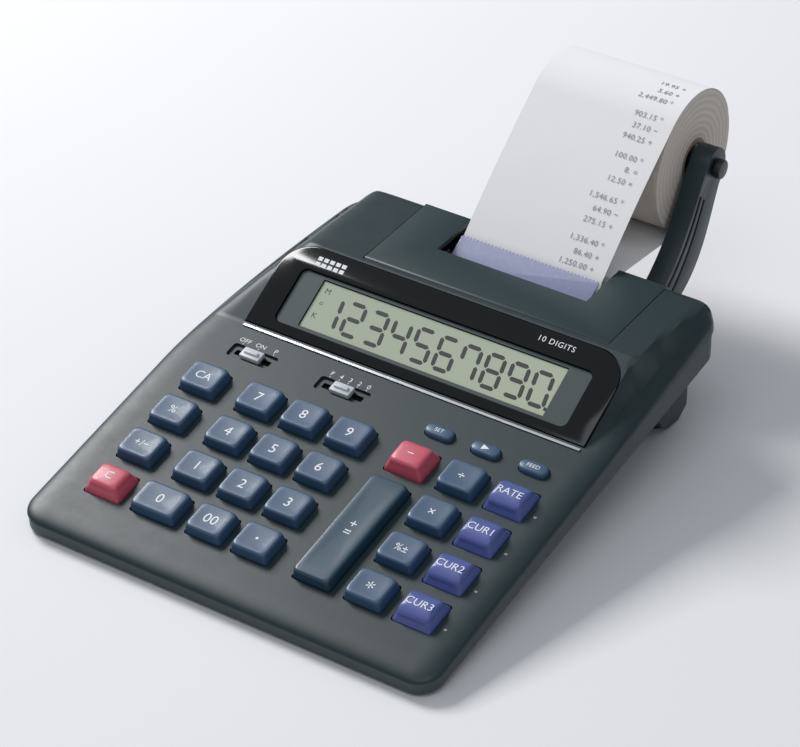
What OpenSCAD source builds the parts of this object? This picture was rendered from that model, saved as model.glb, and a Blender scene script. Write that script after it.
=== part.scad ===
// Desk printing calculator with a paper-roll holder. Millimetres, +X right, +Y rear, +Z up.

/* [Body] */
// Width of the case
body_w = 165; // [140:1:190]
// Depth of the case, front edge to rear wall
body_d = 183; // [170:1:215]
// Height of the front edge of the keypad deck
front_h = 7.6; // [5:0.1:9]
// Slope of the keypad deck in degrees
deck_tilt = 11.8; // [9:0.1:13]
// Rise of the rear top edge above the slope of the deck
rear_rise = 5.17; // [4:0.01:18]
// Wall thickness
wall_t = 1.6; // [1.2:0.1:2.2]
// How far the left side draws in towards the rear
taper_in = 15.4; // [6:0.2:17]
// Length over which the left side draws in
taper_l = 98; // [60:1:120]
// Radius of the case corners in plan
corner_r = 9; // [4:0.5:14]

/* [Keys] */
// Column spacing of the digit keys
col_pitch = 18.6; // [16:0.1:19.5]
// Row spacing of the keys
row_pitch = 18.1; // [16:0.1:18.6]
// Width of a digit key at the deck
key_w = 14.4; // [12:0.1:15.6]
// Length of a digit key at the deck
key_l = 12.7; // [11:0.1:14.6]
// Height of the digit keys above the deck
key_h = 3.8; // [3:0.1:8]
// Inward slope of the key sides over their height
key_draft = 0.4; // [0.2:0.1:2.2]
// How far a key goes down
key_travel = 1.6; // [1.2:0.1:1.8]
// Gap between a key and its hole
key_gap = 0.35; // [0.3:0.05:0.6]

/* [Display] */
// Slope of the display panel in degrees
panel_tilt = 31; // [26:0.5:34]
// Width of the window
window_w = 138; // [110:1:142]
// Length of the window up the slope
window_l = 35; // [28:0.5:38]
// Width of the glass of the display
lcd_w = 100; // [80:1:110]
// Length of the glass of the display up the slope
lcd_l = 19.4; // [15:0.1:22]

/* [Printer] */
// Width of the paper
paper_w = 57; // [44:0.5:58]
// Radius of the paper roll
roll_r = 26.2; // [18:0.1:30]
// Distance of the paper centre to the right of the middle
paper_x = 11.5; // [6:0.5:14]
// Radius of the platen roller
platen_r = 5; // [4:0.1:5.5]
// Radius of the type drum
drum_r = 6.4; // [5:0.1:6.6]
// Gear module
gear_m = 0.8; // [0.7:0.05:0.9]
// Running clearance on a radius
run_fit = 0.08; // [0.05:0.01:0.1]

/* [Holder] */
// Height of the roll centre above the desk
roll_z = 68; // [60:0.5:80]
// Distance of the roll centre behind the case
roll_back = 52; // [48:0.5:60]
// Thickness of the right arm
arm_t = 7.5; // [5:0.1:9]
// Radius of the roll spindle ends
spindle_r = 2.3; // [1.8:0.1:4]

/* [Hidden] */
rear_h = front_h + body_d * tan(deck_tilt) + rear_rise;
$fn = 64;
gap = 0.3;
eps = 0.01;
big = 400;
roll_y = body_d + roll_back;
depth_all = roll_y + roll_r;
st = sin(deck_tilt);
ct = cos(deck_tilt);
tt = tan(deck_tilt);
half_w = body_w / 2;
// deck landmarks along the slope
row_u = [for (i = [0:3]) 24.6 + i * row_pitch];
oval_u = row_u[3] + 15.6;
switch_u = oval_u + 2.6;
panel_u = oval_u + 15.6;
panel_y = panel_u * ct;
panel_z = front_h + panel_u * st;
panel_len = window_l + 1.8;
top_y = panel_y + panel_len * cos(panel_tilt);
top_z = panel_z + panel_len * sin(panel_tilt);
shoulder_x = 75;
// key columns across
col_a = -3.25 * col_pitch;
col_x = [-2 * col_pitch, -col_pitch, 0];
col_m = 1.333 * col_pitch;
col_d = 2.398 * col_pitch;
col_r = 3.414 * col_pitch;
mat_top = -(wall_t + gap + 0.8 + key_travel + gap);
mat_t = 0.5;
board_top = mat_top - mat_t;
board_t = 1.2;
flange = 1;
// parting plane and lower case
part_w = -2.1;
floor_z = 1;
foot_h = 1;
low_front = floor_z + 0.2;
low_rear = rear_h - 18;
pan_x = 70;
rear_pan_x = 60;
pan_split = panel_y + 4;
heel_x = 70.5;
posts = [[-half_w + 12.5, body_d - 45], [half_w - 9, body_d - 12]];
heel_l = 24;
// printer landmarks
notch_w = paper_w + 4;
cover_l = paper_x - 49.5;
cover_r = paper_x + 49.5;
cover_y = top_y + 3.2;
barrel_r = 1.5;
top_slope = (rear_h - top_z) / (body_d - top_y);
platen_y = body_d - 10.5;
platen_z = rear_h - 17;
drum_teeth = 18;
platen_teeth = 14;
pinion_teeth = 10;
drum_y = platen_y - gear_m * (drum_teeth + platen_teeth) / 2;
drum_z = platen_z;
ink_r = 4;
ink_y = drum_y - 7;
ink_z = drum_z + sqrt(pow(drum_r + ink_r + gap, 2) - 49);
pinion_a = 15;
pinion_y = drum_y - gear_m * (drum_teeth + pinion_teeth) / 2 * cos(pinion_a);
pinion_z = drum_z - gear_m * (drum_teeth + pinion_teeth) / 2 * sin(pinion_a);
frame_in = paper_w / 2 + 2.2;
frame_t = 2;
gear_x = paper_x - frame_in - frame_t - 0.6;
gear_w = 3;
paper_t = 0.3;
tear_y = body_d - 22;
tear_z = rear_h - 8.5;
tear_l = 12.5;
tear_tilt = 32;
// holder
hinge_y = body_d + 11;
hinge_z = 24;
pin_r = 2;
arm_in = paper_w / 2 + 1.6;
left_t = 4.5;
lug_t = 4;
core_r = 8.5;
// battery bay
bay_y = pan_split + 6;
bay_l = 33;
bay_x = 53;
bay_h = 16.5;
cell_r = 7.2;
cell_l = 50;

bat_cover_x = 50;
bat_lip = 4;
bat_top = floor_z + 2.3;
cell_z = bat_top + 0.4 + cell_r;

module at_body() translate([0, -depth_all / 2, 0]) children();
module deck() translate([0, 0, front_h]) rotate([deck_tilt, 0, 0]) children();
module panel() translate([0, panel_y, panel_z]) rotate([panel_tilt, 0, 0]) children();
module across(x0, x1) translate([x0, 0, 0]) rotate([90, 0, 90]) linear_extrude(x1 - x0) children();
module bar(x0, x1, y, z, r) translate([x0, y, z]) rotate([0, 90, 0]) cylinder(r = r, h = x1 - x0);
module box(x0, x1, y0, y1, z0, z1) translate([x0, y0, z0]) cube([x1 - x0, y1 - y0, z1 - z0]);

module plan(inset, h = 90) {
  r = corner_r - inset;
  w = body_w - 2 * inset;
  linear_extrude(h) difference() {
    union() {
    translate([-w / 2, inset + r]) square([w, body_d - 2 * inset - 2 * r]);
    translate([-w / 2 + r, inset]) square([w - 2 * r, body_d - 2 * inset]);
    for (x = [-w / 2 + r, w / 2 - r]) {
      for (y = [inset + r, body_d - inset - r]) translate([x, y]) circle(r);
    }
    }
    taper_cut(inset);
  }
}
// outside of the left side, which draws in towards the rear
module taper_cut(t) {
  k = taper_in;
  polygon(concat([[-half_w - 8, body_d - taper_l - 4], [-half_w + t - 0.4, body_d - taper_l - 4]],
    [for (i = [1:8]) let(q = 0.115 * i) [-half_w + k * pow(q, 1.55) + t, body_d - taper_l * (1 - q)]],
    [[-half_w + k + 0.6 + t, body_d - 3.4 - t * 0.6], [-half_w + k + 4.6 + t, body_d - 0.9 - t],
     [-half_w + k + 9 + t, body_d + 0.1 - t], [-half_w + k + 9 + t, body_d + 8], [-half_w - 8,
         body_d + 8]]));
}

function deck_z(y) = front_h + y * tt;
function top_z_at(y) = top_z + (y - top_y) * top_slope;
function low_z(y) = low_front + y * (low_rear - low_front) / body_d;
function part_z(y) = deck_z(y) + part_w / ct;

// side profile of the deck and of the raised rear, t in from the outside
module deck_profile(t) {
  c = t / ct;
  k = panel_y;
  polygon([[t, -5], [t, deck_z(t) - c - 0.8], [t + 1.2, deck_z(t + 1.2) - c],
    [k, deck_z(k) - c], [body_d - t - 2, rear_h - t], [body_d - t, rear_h - 2 - t], [body_d - t, -5]]);
}
module raised_profile(t) {
  s = t / cos(panel_tilt);
  polygon([[panel_y - 30, -5], [panel_y - 30, panel_z - 22 - s], [panel_y, panel_z - s],
    [top_y - 1.5 + t * 0.3, top_z - 0.9 - s], [top_y + 2, top_z_at(top_y + 2) - t],
    [body_d - t - 2, rear_h - t], [body_d - t, rear_h - 2 - t], [body_d - t, -5]]);
}
// front view of the raised rear, with its sloping ends
module raised_ends(t) {
  polygon([[-half_w - 3, -5], [-half_w - 3, rear_h + 5],
    [shoulder_x - t - 1.5, rear_h + 5], [shoulder_x - t + 2.5, panel_z - 4], [shoulder_x - t + 2.5, -5]]);
}
// front view of the sloping left flank
module flank_limit(t) {
  k = -half_w + 23.5 + t * 1.41;
  polygon([[k - 60, -5], [k - 60, rear_h - 60], [k + 10, rear_h + 10], [half_w + 5, rear_h + 10],
      [half_w + 5, -5]]);
}
module room_plan(t, h = 90) {
  x = half_w - t;
  c = corner_r * 0.62;
  linear_extrude(h) difference() {
    polygon([[-x, t + c], [-x + c, t], [x - c, t], [x, t + c], [x, body_d - t - c],
      [x - c, body_d - t], [-x + c, body_d - t], [-x, body_d - t - c]]);
    taper_cut(t);
  }
}
module shell_solid(t) {
  intersection() {
    if (t == 0) plan(0); else room_plan(t);
    translate([0, body_d, 0]) rotate([90, 0, 0]) linear_extrude(body_d) flank_limit(t);
    union() {
      across(-half_w, half_w) deck_profile(t);
      intersection() {
        across(-half_w, half_w) raised_profile(t);
        translate([0, body_d, 0]) rotate([90, 0, 0]) linear_extrude(body_d) raised_ends(t);
      }
    }
  }
}

module deck_box(x, u, w, l, w0, w1) translate([x - w / 2, u - l / 2, w0]) cube([w, l, w1 - w0]);
module key_hole(x, u, w, l) deck_box(x, u, w + 2 * key_gap, l + 2 * key_gap, -8, 3);
module stadium(x, u, l, d, w0, w1) {
  for (s = [-1, 1]) translate([x + s * (l - d) / 2, u, w0]) cylinder(d = d, h = w1 - w0);
  deck_box(x, u, l - d, d, w0, w1);
}

// keys: [x, u, width, length]
k_left = [for (i = [0:3]) [col_a, row_u[i], key_w, key_l]];
k_dig = [for (c = [0:2]) [for (i = [0:3]) [col_x[c], row_u[i], key_w, key_l]]];
k_zero = [col_x[0] - 0.12 * col_pitch, row_u[0], key_w + 3.6, key_l];
k_minus = [col_m, row_u[3], key_w + 0.6, key_l + 0.4];
k_bar = [col_m, (row_u[0] + row_u[2]) / 2, key_w + 0.4, key_l + 2 * row_pitch];
k_div = [for (i = [0:3]) [col_d, row_u[i], key_w, key_l]];
k_rate = [for (i = [0:3]) [col_r, row_u[i], key_w + 0.4, key_l + 0.6]];
oval_x = [col_m + 1, col_d - 0.6, col_r - 0.8];
oval_l = 11;
oval_d = 5.2;
oval_h = 2;
all_keys = concat(k_left, [k_zero, k_dig[1][0], k_dig[2][0]],
    [for (c = [0:2]) for (i = [1:3]) k_dig[c][i]],
  [k_minus, k_bar], k_div, k_rate);

module key_body(k, h, arch = 0) {
  x = k[0];
  u = k[1];
  w = k[2];
  l = k[3];
  d = key_draft;
  low = -(wall_t + gap);
  deck() {
    intersection() {
      translate([x, u + l, 0]) rotate([90, 0, 0]) linear_extrude(2 * l)
        polygon([[-w / 2, low - eps], [-w / 2, 0], [-w / 2 + d, h - 0.5], [-w / 2 + d + 0.5, h],
          [w / 2 - d - 0.5, h], [w / 2 - d, h - 0.5], [w / 2, 0], [w / 2, low - eps]]);
      translate([x - w, u, 0]) rotate([90, 0, 90]) linear_extrude(2 * w)
        polygon([[-l / 2, low - eps], [-l / 2, 0], [-l / 2 + d + 0.2, h - 0.5], [-l / 2 + d + 0.7, h],
          [l / 2 - d - 0.3, h], [l / 2 - d + 0.2, h - 0.5], [l / 2, 0], [l / 2, low - eps]]);
      if (arch > 0)
        translate([x - w, u, h - arch]) rotate([0, 90, 0]) cylinder(r = arch, h = 2 * w);
    }
    deck_box(x, u, w + 2 * flange, l + 2 * flange, low - 0.8, low);
  }
}
module oval_key(i) {
  low = -(wall_t + gap);
  deck() {
    stadium(oval_x[i], oval_u, oval_l, oval_d, low - eps, oval_h);
    deck_box(oval_x[i], oval_u, oval_l + 1.6, oval_d + 1.6, low - 0.8, low);
  }
}

slate = "#4a6c9c";
pink = "#d45c78";
violet = "#6670c4";
teal = "#1e3438";
module key_clear_all() color(slate) at_body() key_body(k_left[3], key_h);
module key_percent() color(slate) at_body() key_body(k_left[2], key_h);
module key_sign() color(slate) at_body() key_body(k_left[1], key_h);
module key_clear() color(pink) at_body() key_body(k_left[0], key_h + 1.2);
module key_7() color(slate) at_body() key_body(k_dig[0][3], key_h);
module key_8() color(slate) at_body() key_body(k_dig[1][3], key_h);
module key_9() color(slate) at_body() key_body(k_dig[2][3], key_h);
module key_4() color(slate) at_body() key_body(k_dig[0][2], key_h);
module key_5() color(slate) at_body() key_body(k_dig[1][2], key_h);
module key_6() color(slate) at_body() key_body(k_dig[2][2], key_h);
module key_1() color(slate) at_body() key_body(k_dig[0][1], key_h);
module key_2() color(slate) at_body() key_body(k_dig[1][1], key_h);
module key_3() color(slate) at_body() key_body(k_dig[2][1], key_h);
module key_0() color(slate) at_body() key_body(k_zero, key_h);
module key_00() color(slate) at_body() key_body(k_dig[1][0], key_h);
module key_point() color(slate) at_body() key_body(k_dig[2][0], key_h);
module key_minus() color(pink) at_body() key_body(k_minus, key_h + 1.2);
module key_plus_equals() color("#2f5a74") at_body() key_body(k_bar, key_h);
module key_divide() color(slate) at_body() key_body(k_div[3], key_h);
module key_multiply() color(slate) at_body() key_body(k_div[2], key_h);
module key_markup() color(slate) at_body() key_body(k_div[1], key_h);
module key_total() color(slate) at_body() key_body(k_div[0], key_h);
module key_rate_set() color(violet) at_body() key_body(k_rate[3], key_h + 1, 9.5);
module key_rate_1() color(violet) at_body() key_body(k_rate[2], key_h + 1, 9.5);
module key_rate_2() color(violet) at_body() key_body(k_rate[1], key_h + 1, 9.5);
module key_rate_3() color(violet) at_body() key_body(k_rate[0], key_h + 1, 9.5);
module key_set() color(slate) at_body() oval_key(0);
module key_shift() color(slate) at_body() oval_key(1);
module key_feed() color(slate) at_body() oval_key(2);

// slide switches: slot centres across
sw_x = [col_a + 7, col_x[1] + 2.9];
slot_l = [18.8, 20.6];
slot_d = 6.4;
stem_w = 2.4;
module switch_knob(i) {
  color("#c8ccd0") at_body() deck() {
    deck_box(sw_x[i], switch_u, 8, 4.6, -0.7, 1.2);
    deck_box(sw_x[i], switch_u, 5.6, 1.6, 1.1, 2.0);
    deck_box(sw_x[i], switch_u, 3.4, stem_w - 2 * gap, -2.6, -0.6);
    deck_box(sw_x[i], switch_u, 5, 4, -3.4, -2.5);
  }
}
module power_switch() switch_knob(0);
module decimal_switch() switch_knob(1);

module window_shape(inset) {
  w = window_w - 2 * inset;
  l = window_l - 2 * inset;
  r = 12;
  translate([-w / 2, 0]) square([w, l - r]);
  translate([-w / 2 + r, 0]) square([w - 2 * r, l]);
  for (s = [-1, 1]) translate([s * (w / 2 - r), l - r]) circle(r);
}
win_x = 3.1;
bezel_w = lcd_w + 19;
bezel_l = lcd_l + 3;
bezel_u = 4.5;
lcd_u = bezel_u + 1.5;
seat = 1.2;
module rounded(w, l, r) {
  translate([-w / 2 + r, 0]) square([w - 2 * r, l]);
  translate([-w / 2, r]) square([w, l - 2 * r]);
  for (x = [-1, 1]) for (y = [r, l - r]) translate([x * (w / 2 - r), y]) circle(r);
}
module display_window() {
  color("#050607") at_body() panel() translate([win_x, 0.8, -seat]) linear_extrude(seat + 0.4)
    difference() {
      window_shape(0);
      translate([0, bezel_u - 0.8]) rounded(bezel_w, bezel_l, 2.5);
    }
}
module display_bezel() {
  color("#26383a") at_body() panel() translate([win_x, 0, 0]) difference() {
    translate([0, 0, -seat]) linear_extrude(seat - 0.4)
      translate([0, bezel_u + gap]) rounded(bezel_w - 2 * gap, bezel_l - 2 * gap, 2.3);
    translate([0, 0, -3]) linear_extrude(6) translate([0, lcd_u]) square_c(lcd_w, lcd_l);
  }
}
module square_c(w, l) translate([-w / 2, 0]) square([w, l]);
module lcd_panel() {
  color("#a4b09c") at_body() panel() translate([win_x, lcd_u - 2, -seat - wall_t - 2.2])
    linear_extrude(1.9) square_c(lcd_w + 8, lcd_l + 4);
  color("#a4b09c") at_body() panel() translate([win_x, lcd_u + gap, -seat - wall_t - 0.35])
    linear_extrude(wall_t + 0.6) square_c(lcd_w - 2 * gap, lcd_l - 2 * gap);
}
module trim_strip() {
  color("#c0c4c8") at_body() deck()
    deck_box(win_x, panel_u - 1.1, window_w - 1, 1, 0, 0.45);
}

module upper_case() {
  color(teal) at_body() {
    difference() {
      union() {
        difference() {
          shell_solid(0);
          shell_solid(wall_t);
        }
        // bosses under the switch slots and the window seat
        intersection() {
          shell_solid(wall_t / 2);
          union() {
            deck() for (i = [0, 1]) deck_box(sw_x[i], switch_u, slot_l[i] + 3, slot_d + 3, -2.3, -1);
            panel() translate([win_x, 0, -seat - wall_t]) linear_extrude(wall_t + 0.6) translate([0, 0.4])
              square_c(window_w + 2, window_l + 0.6);
            // knuckle blocks of the printer cover
            for (x = [cover_l - gap - 4.5, cover_r + gap])
              box(x, x + 4.5, cover_y - 2.6, cover_y + 2.6, top_z - 5, rear_h);
            // posts for the case screws
            for (p = posts) translate([p[0], p[1], part_z(p[1]) - 3])
              cylinder(r = 3.2, h = 20);
          }
        }
      }
      // everything under the parting plane
      deck() translate([-big / 2, -50, part_w - 60]) cube([big, big, 60]);
      deck() {
        for (k = all_keys) key_hole(k[0], k[1], k[2], k[3]);
        for (i = [0:2]) stadium(oval_x[i], oval_u, oval_l + 2 * key_gap, oval_d + 2 * key_gap, -8, 3);
        for (i = [0, 1]) {
          deck_box(sw_x[i], switch_u, slot_l[i], slot_d, -1, 3);
          deck_box(sw_x[i], switch_u, slot_l[i] - 4, stem_w, -6, 0);
        }
      }
      // seat of the window and opening of the display
      panel() translate([win_x, 0.8 - gap, -seat]) linear_extrude(12) scale([1, 1]) window_seat();
      panel() translate([win_x, lcd_u - eps, -8]) linear_extrude(12) square_c(lcd_w + 0.1,
          lcd_l + 2 * eps);
      // opening of the printer cover, and of the paper in the rear wall
      box(cover_l - gap, cover_r + gap, cover_y - barrel_r - gap, body_d + 1, rear_h - 7.2, big / 4);
      box(paper_x - notch_w / 2, paper_x + notch_w / 2, body_d - 5, body_d + 1, rear_h - 9.5, big / 4);
      bar(cover_l - gap - 3, cover_r + gap + 3, cover_y, hinge_top(), 0.8 + run_fit);
      // blind holes of the case screws
      for (p = posts) translate([p[0], p[1], 0]) cylinder(r = 1.2, h = part_z(p[1]) + 5);
    }
  }
}
module window_seat() {
  w = window_w + 2 * gap;
  l = window_l + 2 * gap;
  r = 12;
  translate([-w / 2, 0]) square([w, l - r]);
  translate([-w / 2 + r, 0]) square([w - 2 * r, l]);
  for (s = [-1, 1]) translate([s * (w / 2 - r), l - r]) circle(r);
}
function hinge_top() = top_z_at(cover_y) - barrel_r;

module rim_profile(t) polygon([[t, low_z(0) + t], [t, part_z(t) + 6], [body_d - t,
    part_z(body_d - t) + 6],
  [body_d - t, low_z(body_d) + t], [body_d / 2, low_z(body_d / 2) + t]]);
module lower_solid(t) {
  intersection() {
    if (t == 0) plan(0.5); else room_plan(t + 0.5);
    union() {
      across(-half_w, half_w) rim_profile(t);
      intersection() {
        union() {
          box(-pan_x + t, pan_x - t, 5 + t, pan_split - t, floor_z + t, rear_h);
          box(-rear_pan_x + t, rear_pan_x - t, pan_split - 8, body_d - t, floor_z + t, rear_h);
          for (s = [-1, 1]) across(s * (heel_x + 53) / 2 - (heel_x - 53) / 2 + t,
              s * (heel_x + 53) / 2 + (heel_x - 53) / 2 - t)
            heel_profile(t);
        }
        across(-half_w, half_w)
          polygon([[0, -5], [0, part_z(0) + 6], [body_d, part_z(body_d) + 6], [body_d, -5]]);
      }
    }
  }
}
module heel_profile(t) {
  polygon([[body_d - heel_l + t, low_z(body_d - heel_l) + 3], [body_d - heel_l + 3 + t, floor_z + 8],
    [body_d - heel_l + 9 + t, floor_z + 1 + t], [body_d - 6 - t, floor_z + t], [body_d - t,
        floor_z + 4 + t],
    [body_d - t, low_z(body_d) + 3]]);
}
module lower_case() {
  color("#2a3c3e") at_body() {
    difference() {
      union() {
        difference() {
          lower_solid(0);
          difference() {
            lower_solid(wall_t);
            // battery bay and printer deck stand inside
            box(-bay_x - 2, bay_x + 2, bay_y - 2, bay_y + bay_l + 2, 0, floor_z + wall_t + bay_h + 2);
            box(-bay_x - 4, bay_x + 4, bay_y - 5, body_d, 0, bat_top + 1.6);
            for (p = posts) translate([p[0], p[1], 0]) cylinder(r = 3.4, h = rear_h);
          }
          deck() translate([-big / 2, -50, part_w]) cube([big, big, 60]);
        }
        // lugs of the roll holder
        for (x = [paper_x - arm_in - left_t - gap - lug_t, paper_x + arm_in + arm_t + gap])
          across(x, x + lug_t) difference() {
            union() {
              translate([hinge_y, hinge_z]) circle(6);
              translate([body_d - 3, hinge_z - 6]) square([hinge_y - body_d + 3, 12]);
            }
          }
      }
      bar(paper_x - 60, paper_x + 60, hinge_y, hinge_z, pin_r + eps);
      // room of the cells, open downwards
      box(-bay_x, bay_x, bay_y, bay_y + bay_l, -1, floor_z + wall_t + bay_h);
      // recess of the sliding cover, open at the rear
      box(-bat_cover_x, bat_cover_x, bay_y - 3, body_d + 1, -1, bat_top);
      box(-bat_cover_x - bat_lip, bat_cover_x + bat_lip, bay_y - 3, body_d + 1, floor_z + 0.6, bat_top);
      // socket at the rear and the screw holes
      translate([-45, body_d - 12, floor_z + 26]) rotate([-90, 0, 0]) cylinder(r = 5, h = 20);
      for (p = posts) translate([p[0], p[1], -1]) cylinder(r = 1.7, h = rear_h);
      for (p = posts) translate([p[0], p[1], -1]) cylinder(r = 3.1, h = low_z(p[1]) + 3);
    }
  }
}
module case_screws() {
  color("#9a9da0") at_body() for (p = posts) translate([p[0], p[1], 0]) {
    z0 = low_z(p[1]) + 2;
    translate([0, 0, z0 - 1.6]) cylinder(r = 2.7, h = 1.6);
    translate([0, 0, z0 - eps]) cylinder(r = 1.1, h = 11);
  }
}
module rubber_feet() {
  color("#1a1a1a") at_body() {
    for (x = [-pan_x + 9, pan_x - 9]) translate([x, 15, 0]) cylinder(r = 5, h = foot_h);
    for (x = [-heel_x + 7.5, heel_x - 7.5]) translate([x, body_d - 11, 0]) cylinder(r = 4, h = foot_h);
  }
}
module battery_cover() {
  color("#2a3c3e") at_body() {
    box(-bat_cover_x + gap, bat_cover_x - gap, bay_y - 3 + gap, body_d - 0.2, floor_z, bat_top - gap);
    box(-bat_cover_x - bat_lip + gap, bat_cover_x + bat_lip - gap, bay_y - 3 + gap, body_d - 0.2,
      floor_z + 0.6 + gap, bat_top - gap);
    for (y = [0:2]) box(-12, 12, body_d - 9 + y * 2.4, body_d - 8 + y * 2.4, floor_z - 0.5,
        floor_z + 0.1);
  }
}
module batteries() {
  color("#b08a3a") at_body() for (s = [-1, 1]) for (y = [bay_y + 8.1, bay_y + bay_l - 8.1]) {
    bar(s * (cell_l / 2 + 1) - cell_l / 2, s * (cell_l / 2 + 1) + cell_l / 2 - 1.2, y, cell_z, cell_r);
    bar(s * (cell_l / 2 + 1) + cell_l / 2 - 1.3, s * (cell_l / 2 + 1) + cell_l / 2, y, cell_z, 2.7);
  }
}
module dc_jack() {
  color("#151515") at_body() translate([-45, body_d - 10.5, floor_z + 26]) rotate([-90, 0, 0]) {
    difference() {
      cylinder(r = 4.7, h = 10.5);
      translate([0, 0, 2]) cylinder(r = 2.8, h = 10);
    }
    cylinder(r = 1, h = 9);
  }
}

module main_board() {
  color("#2f6b3c") at_body() deck() difference() {
    translate([-66, row_u[0] - 4.6, board_top - board_t]) cube([132, panel_u - row_u[0] - 3, board_t]);
    for (x = [-30, 30]) translate([x, oval_u - 8, board_top - 3]) cylinder(r = 1.6, h = 6);
  }
}
module key_mat() {
  color("#7a7d80") at_body() deck() {
    translate([-66, row_u[0] - 4.6, board_top]) cube([132, row_u[3] - row_u[0] + 12, mat_t]);
    for (k = all_keys) translate([k[0] > 62 ? 62 : k[0] < -62 ? -62 : k[0], k[1],
        mat_top - 0.2 - eps]) cylinder(r = 2.6, h = 0.2, $fn = 24);
  }
}

module gear(n, w, bore) {
  rp = gear_m * n / 2;
  da = 360 / n;
  linear_extrude(w) difference() {
    union() {
      circle(rp - 1.1 * gear_m);
      for (i = [0:n - 1]) rotate(i * da)
        polygon([[rp - 1.4 * gear_m, -0.26 * da / 57.3 * rp], [rp, -0.21 * da / 57.3 * rp],
          [rp + 0.75 * gear_m, -0.1 * da / 57.3 * rp], [rp + 0.75 * gear_m, 0.1 * da / 57.3 * rp],
          [rp, 0.21 * da / 57.3 * rp], [rp - 1.4 * gear_m, 0.26 * da / 57.3 * rp]]);
    }
    circle(bore);
  }
}
// gears stand on the left of the printer; turn sets the angle of the first tooth
module gear_at(y, z, n, bore, turn) {
  translate([gear_x, y, z]) rotate([90, 0, 90]) translate([0, 0, -gear_w]) rotate(turn) gear(n, gear_w,
      bore);
}
shaft_r = 1.5;
module printer_frame() {
  color("#3a3d40") at_body() difference() {
    union() {
      for (x = [paper_x - frame_in - frame_t, paper_x + frame_in])
        across(x, x + frame_t) polygon([[ink_y - 6, platen_z - 12], [ink_y - 6, ink_z + 3],
            [drum_y + 3, rear_h - 8.6],
          [platen_y + 3, rear_h - 8.6], [platen_y + 7, platen_z - 4], [platen_y + 7, platen_z - 12]]);
      box(paper_x - frame_in - frame_t, paper_x + frame_in + frame_t, ink_y - 6, platen_y + 7,
          platen_z - 12, platen_z - 10);
      // feet of the frame
      for (x = [paper_x - frame_in - frame_t, paper_x + frame_in - 3])
        for (y = [[ink_y - 6, floor_z + wall_t + bay_h + 2], [platen_y + 2, bat_top + 1.6]])
          box(x, x + 5, y[0], y[0] + 5, y[1] + 0.02, platen_z - 11);
    }
    bar(paper_x - 60, paper_x + 60, platen_y, platen_z, shaft_r + run_fit);
    bar(paper_x - 60, paper_x + 60, drum_y, drum_z, shaft_r + run_fit);
    bar(paper_x - 60, paper_x + 60, ink_y, ink_z, 1 + run_fit);
  }
}
module platen_roller() {
  color("#202020") at_body() {
    bar(paper_x - frame_in + 0.6, paper_x + frame_in - 0.6, platen_y, platen_z, platen_r);
    bar(gear_x - gear_w, paper_x + frame_in + frame_t + 0.8, platen_y, platen_z, shaft_r);
  }
}
module platen_gear() color("#d8d4c8") at_body() gear_at(platen_y, platen_z, platen_teeth, shaft_r,
    180 + 180 / platen_teeth);
module type_drum() {
  color("#77706a") at_body() {
    for (i = [0:11]) bar(paper_x - 26.4 + i * 4.4, paper_x - 26.4 + i * 4.4 + 3.6, drum_y, drum_z,
        drum_r);
    bar(paper_x - frame_in + 0.6, paper_x + frame_in - 0.6, drum_y, drum_z, drum_r - 1.2);
    bar(gear_x - gear_w, paper_x + frame_in + frame_t + 0.8, drum_y, drum_z, shaft_r);
  }
}
module drum_gear() color("#d8d4c8") at_body() gear_at(drum_y, drum_z, drum_teeth, shaft_r, 0);
module ink_roller() {
  color("#3b2a4a") at_body() {
    bar(paper_x - frame_in + 0.6, paper_x + frame_in - 0.6, ink_y, ink_z, ink_r);
    bar(paper_x - frame_in - frame_t - 0.4, paper_x + frame_in + frame_t + 0.4, ink_y, ink_z, 1);
  }
}
motor_r = 6.3;
module printer_motor() {
  color("#8b8f92") at_body() difference() {
    union() {
      bar(gear_x - gear_w - 24, gear_x - gear_w - 1, pinion_y, pinion_z, motor_r);
      box(gear_x - gear_w - 24, gear_x - gear_w - 21, pinion_y - 8, pinion_y + 8, pinion_z - 7,
          pinion_z + 2);
    }
    bar(gear_x - gear_w - 10, gear_x, pinion_y, pinion_z, 1 + run_fit);
  }
}
module motor_pinion() {
  color("#c9a24a") at_body() {
    gear_at(pinion_y, pinion_z, pinion_teeth, 1, pinion_phase());
    bar(gear_x - gear_w - 8, gear_x, pinion_y, pinion_z, 1);
  }
}
// the drum tooth nearest the line of centres fixes the phase of the pinion
function pinion_phase() = pinion_a + 180 / pinion_teeth - drum_off() * drum_teeth / pinion_teeth;
function drum_off() = round((180 + pinion_a) / (360 / drum_teeth)) * (360 / drum_teeth) - 180 - pinion_a;

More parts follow.
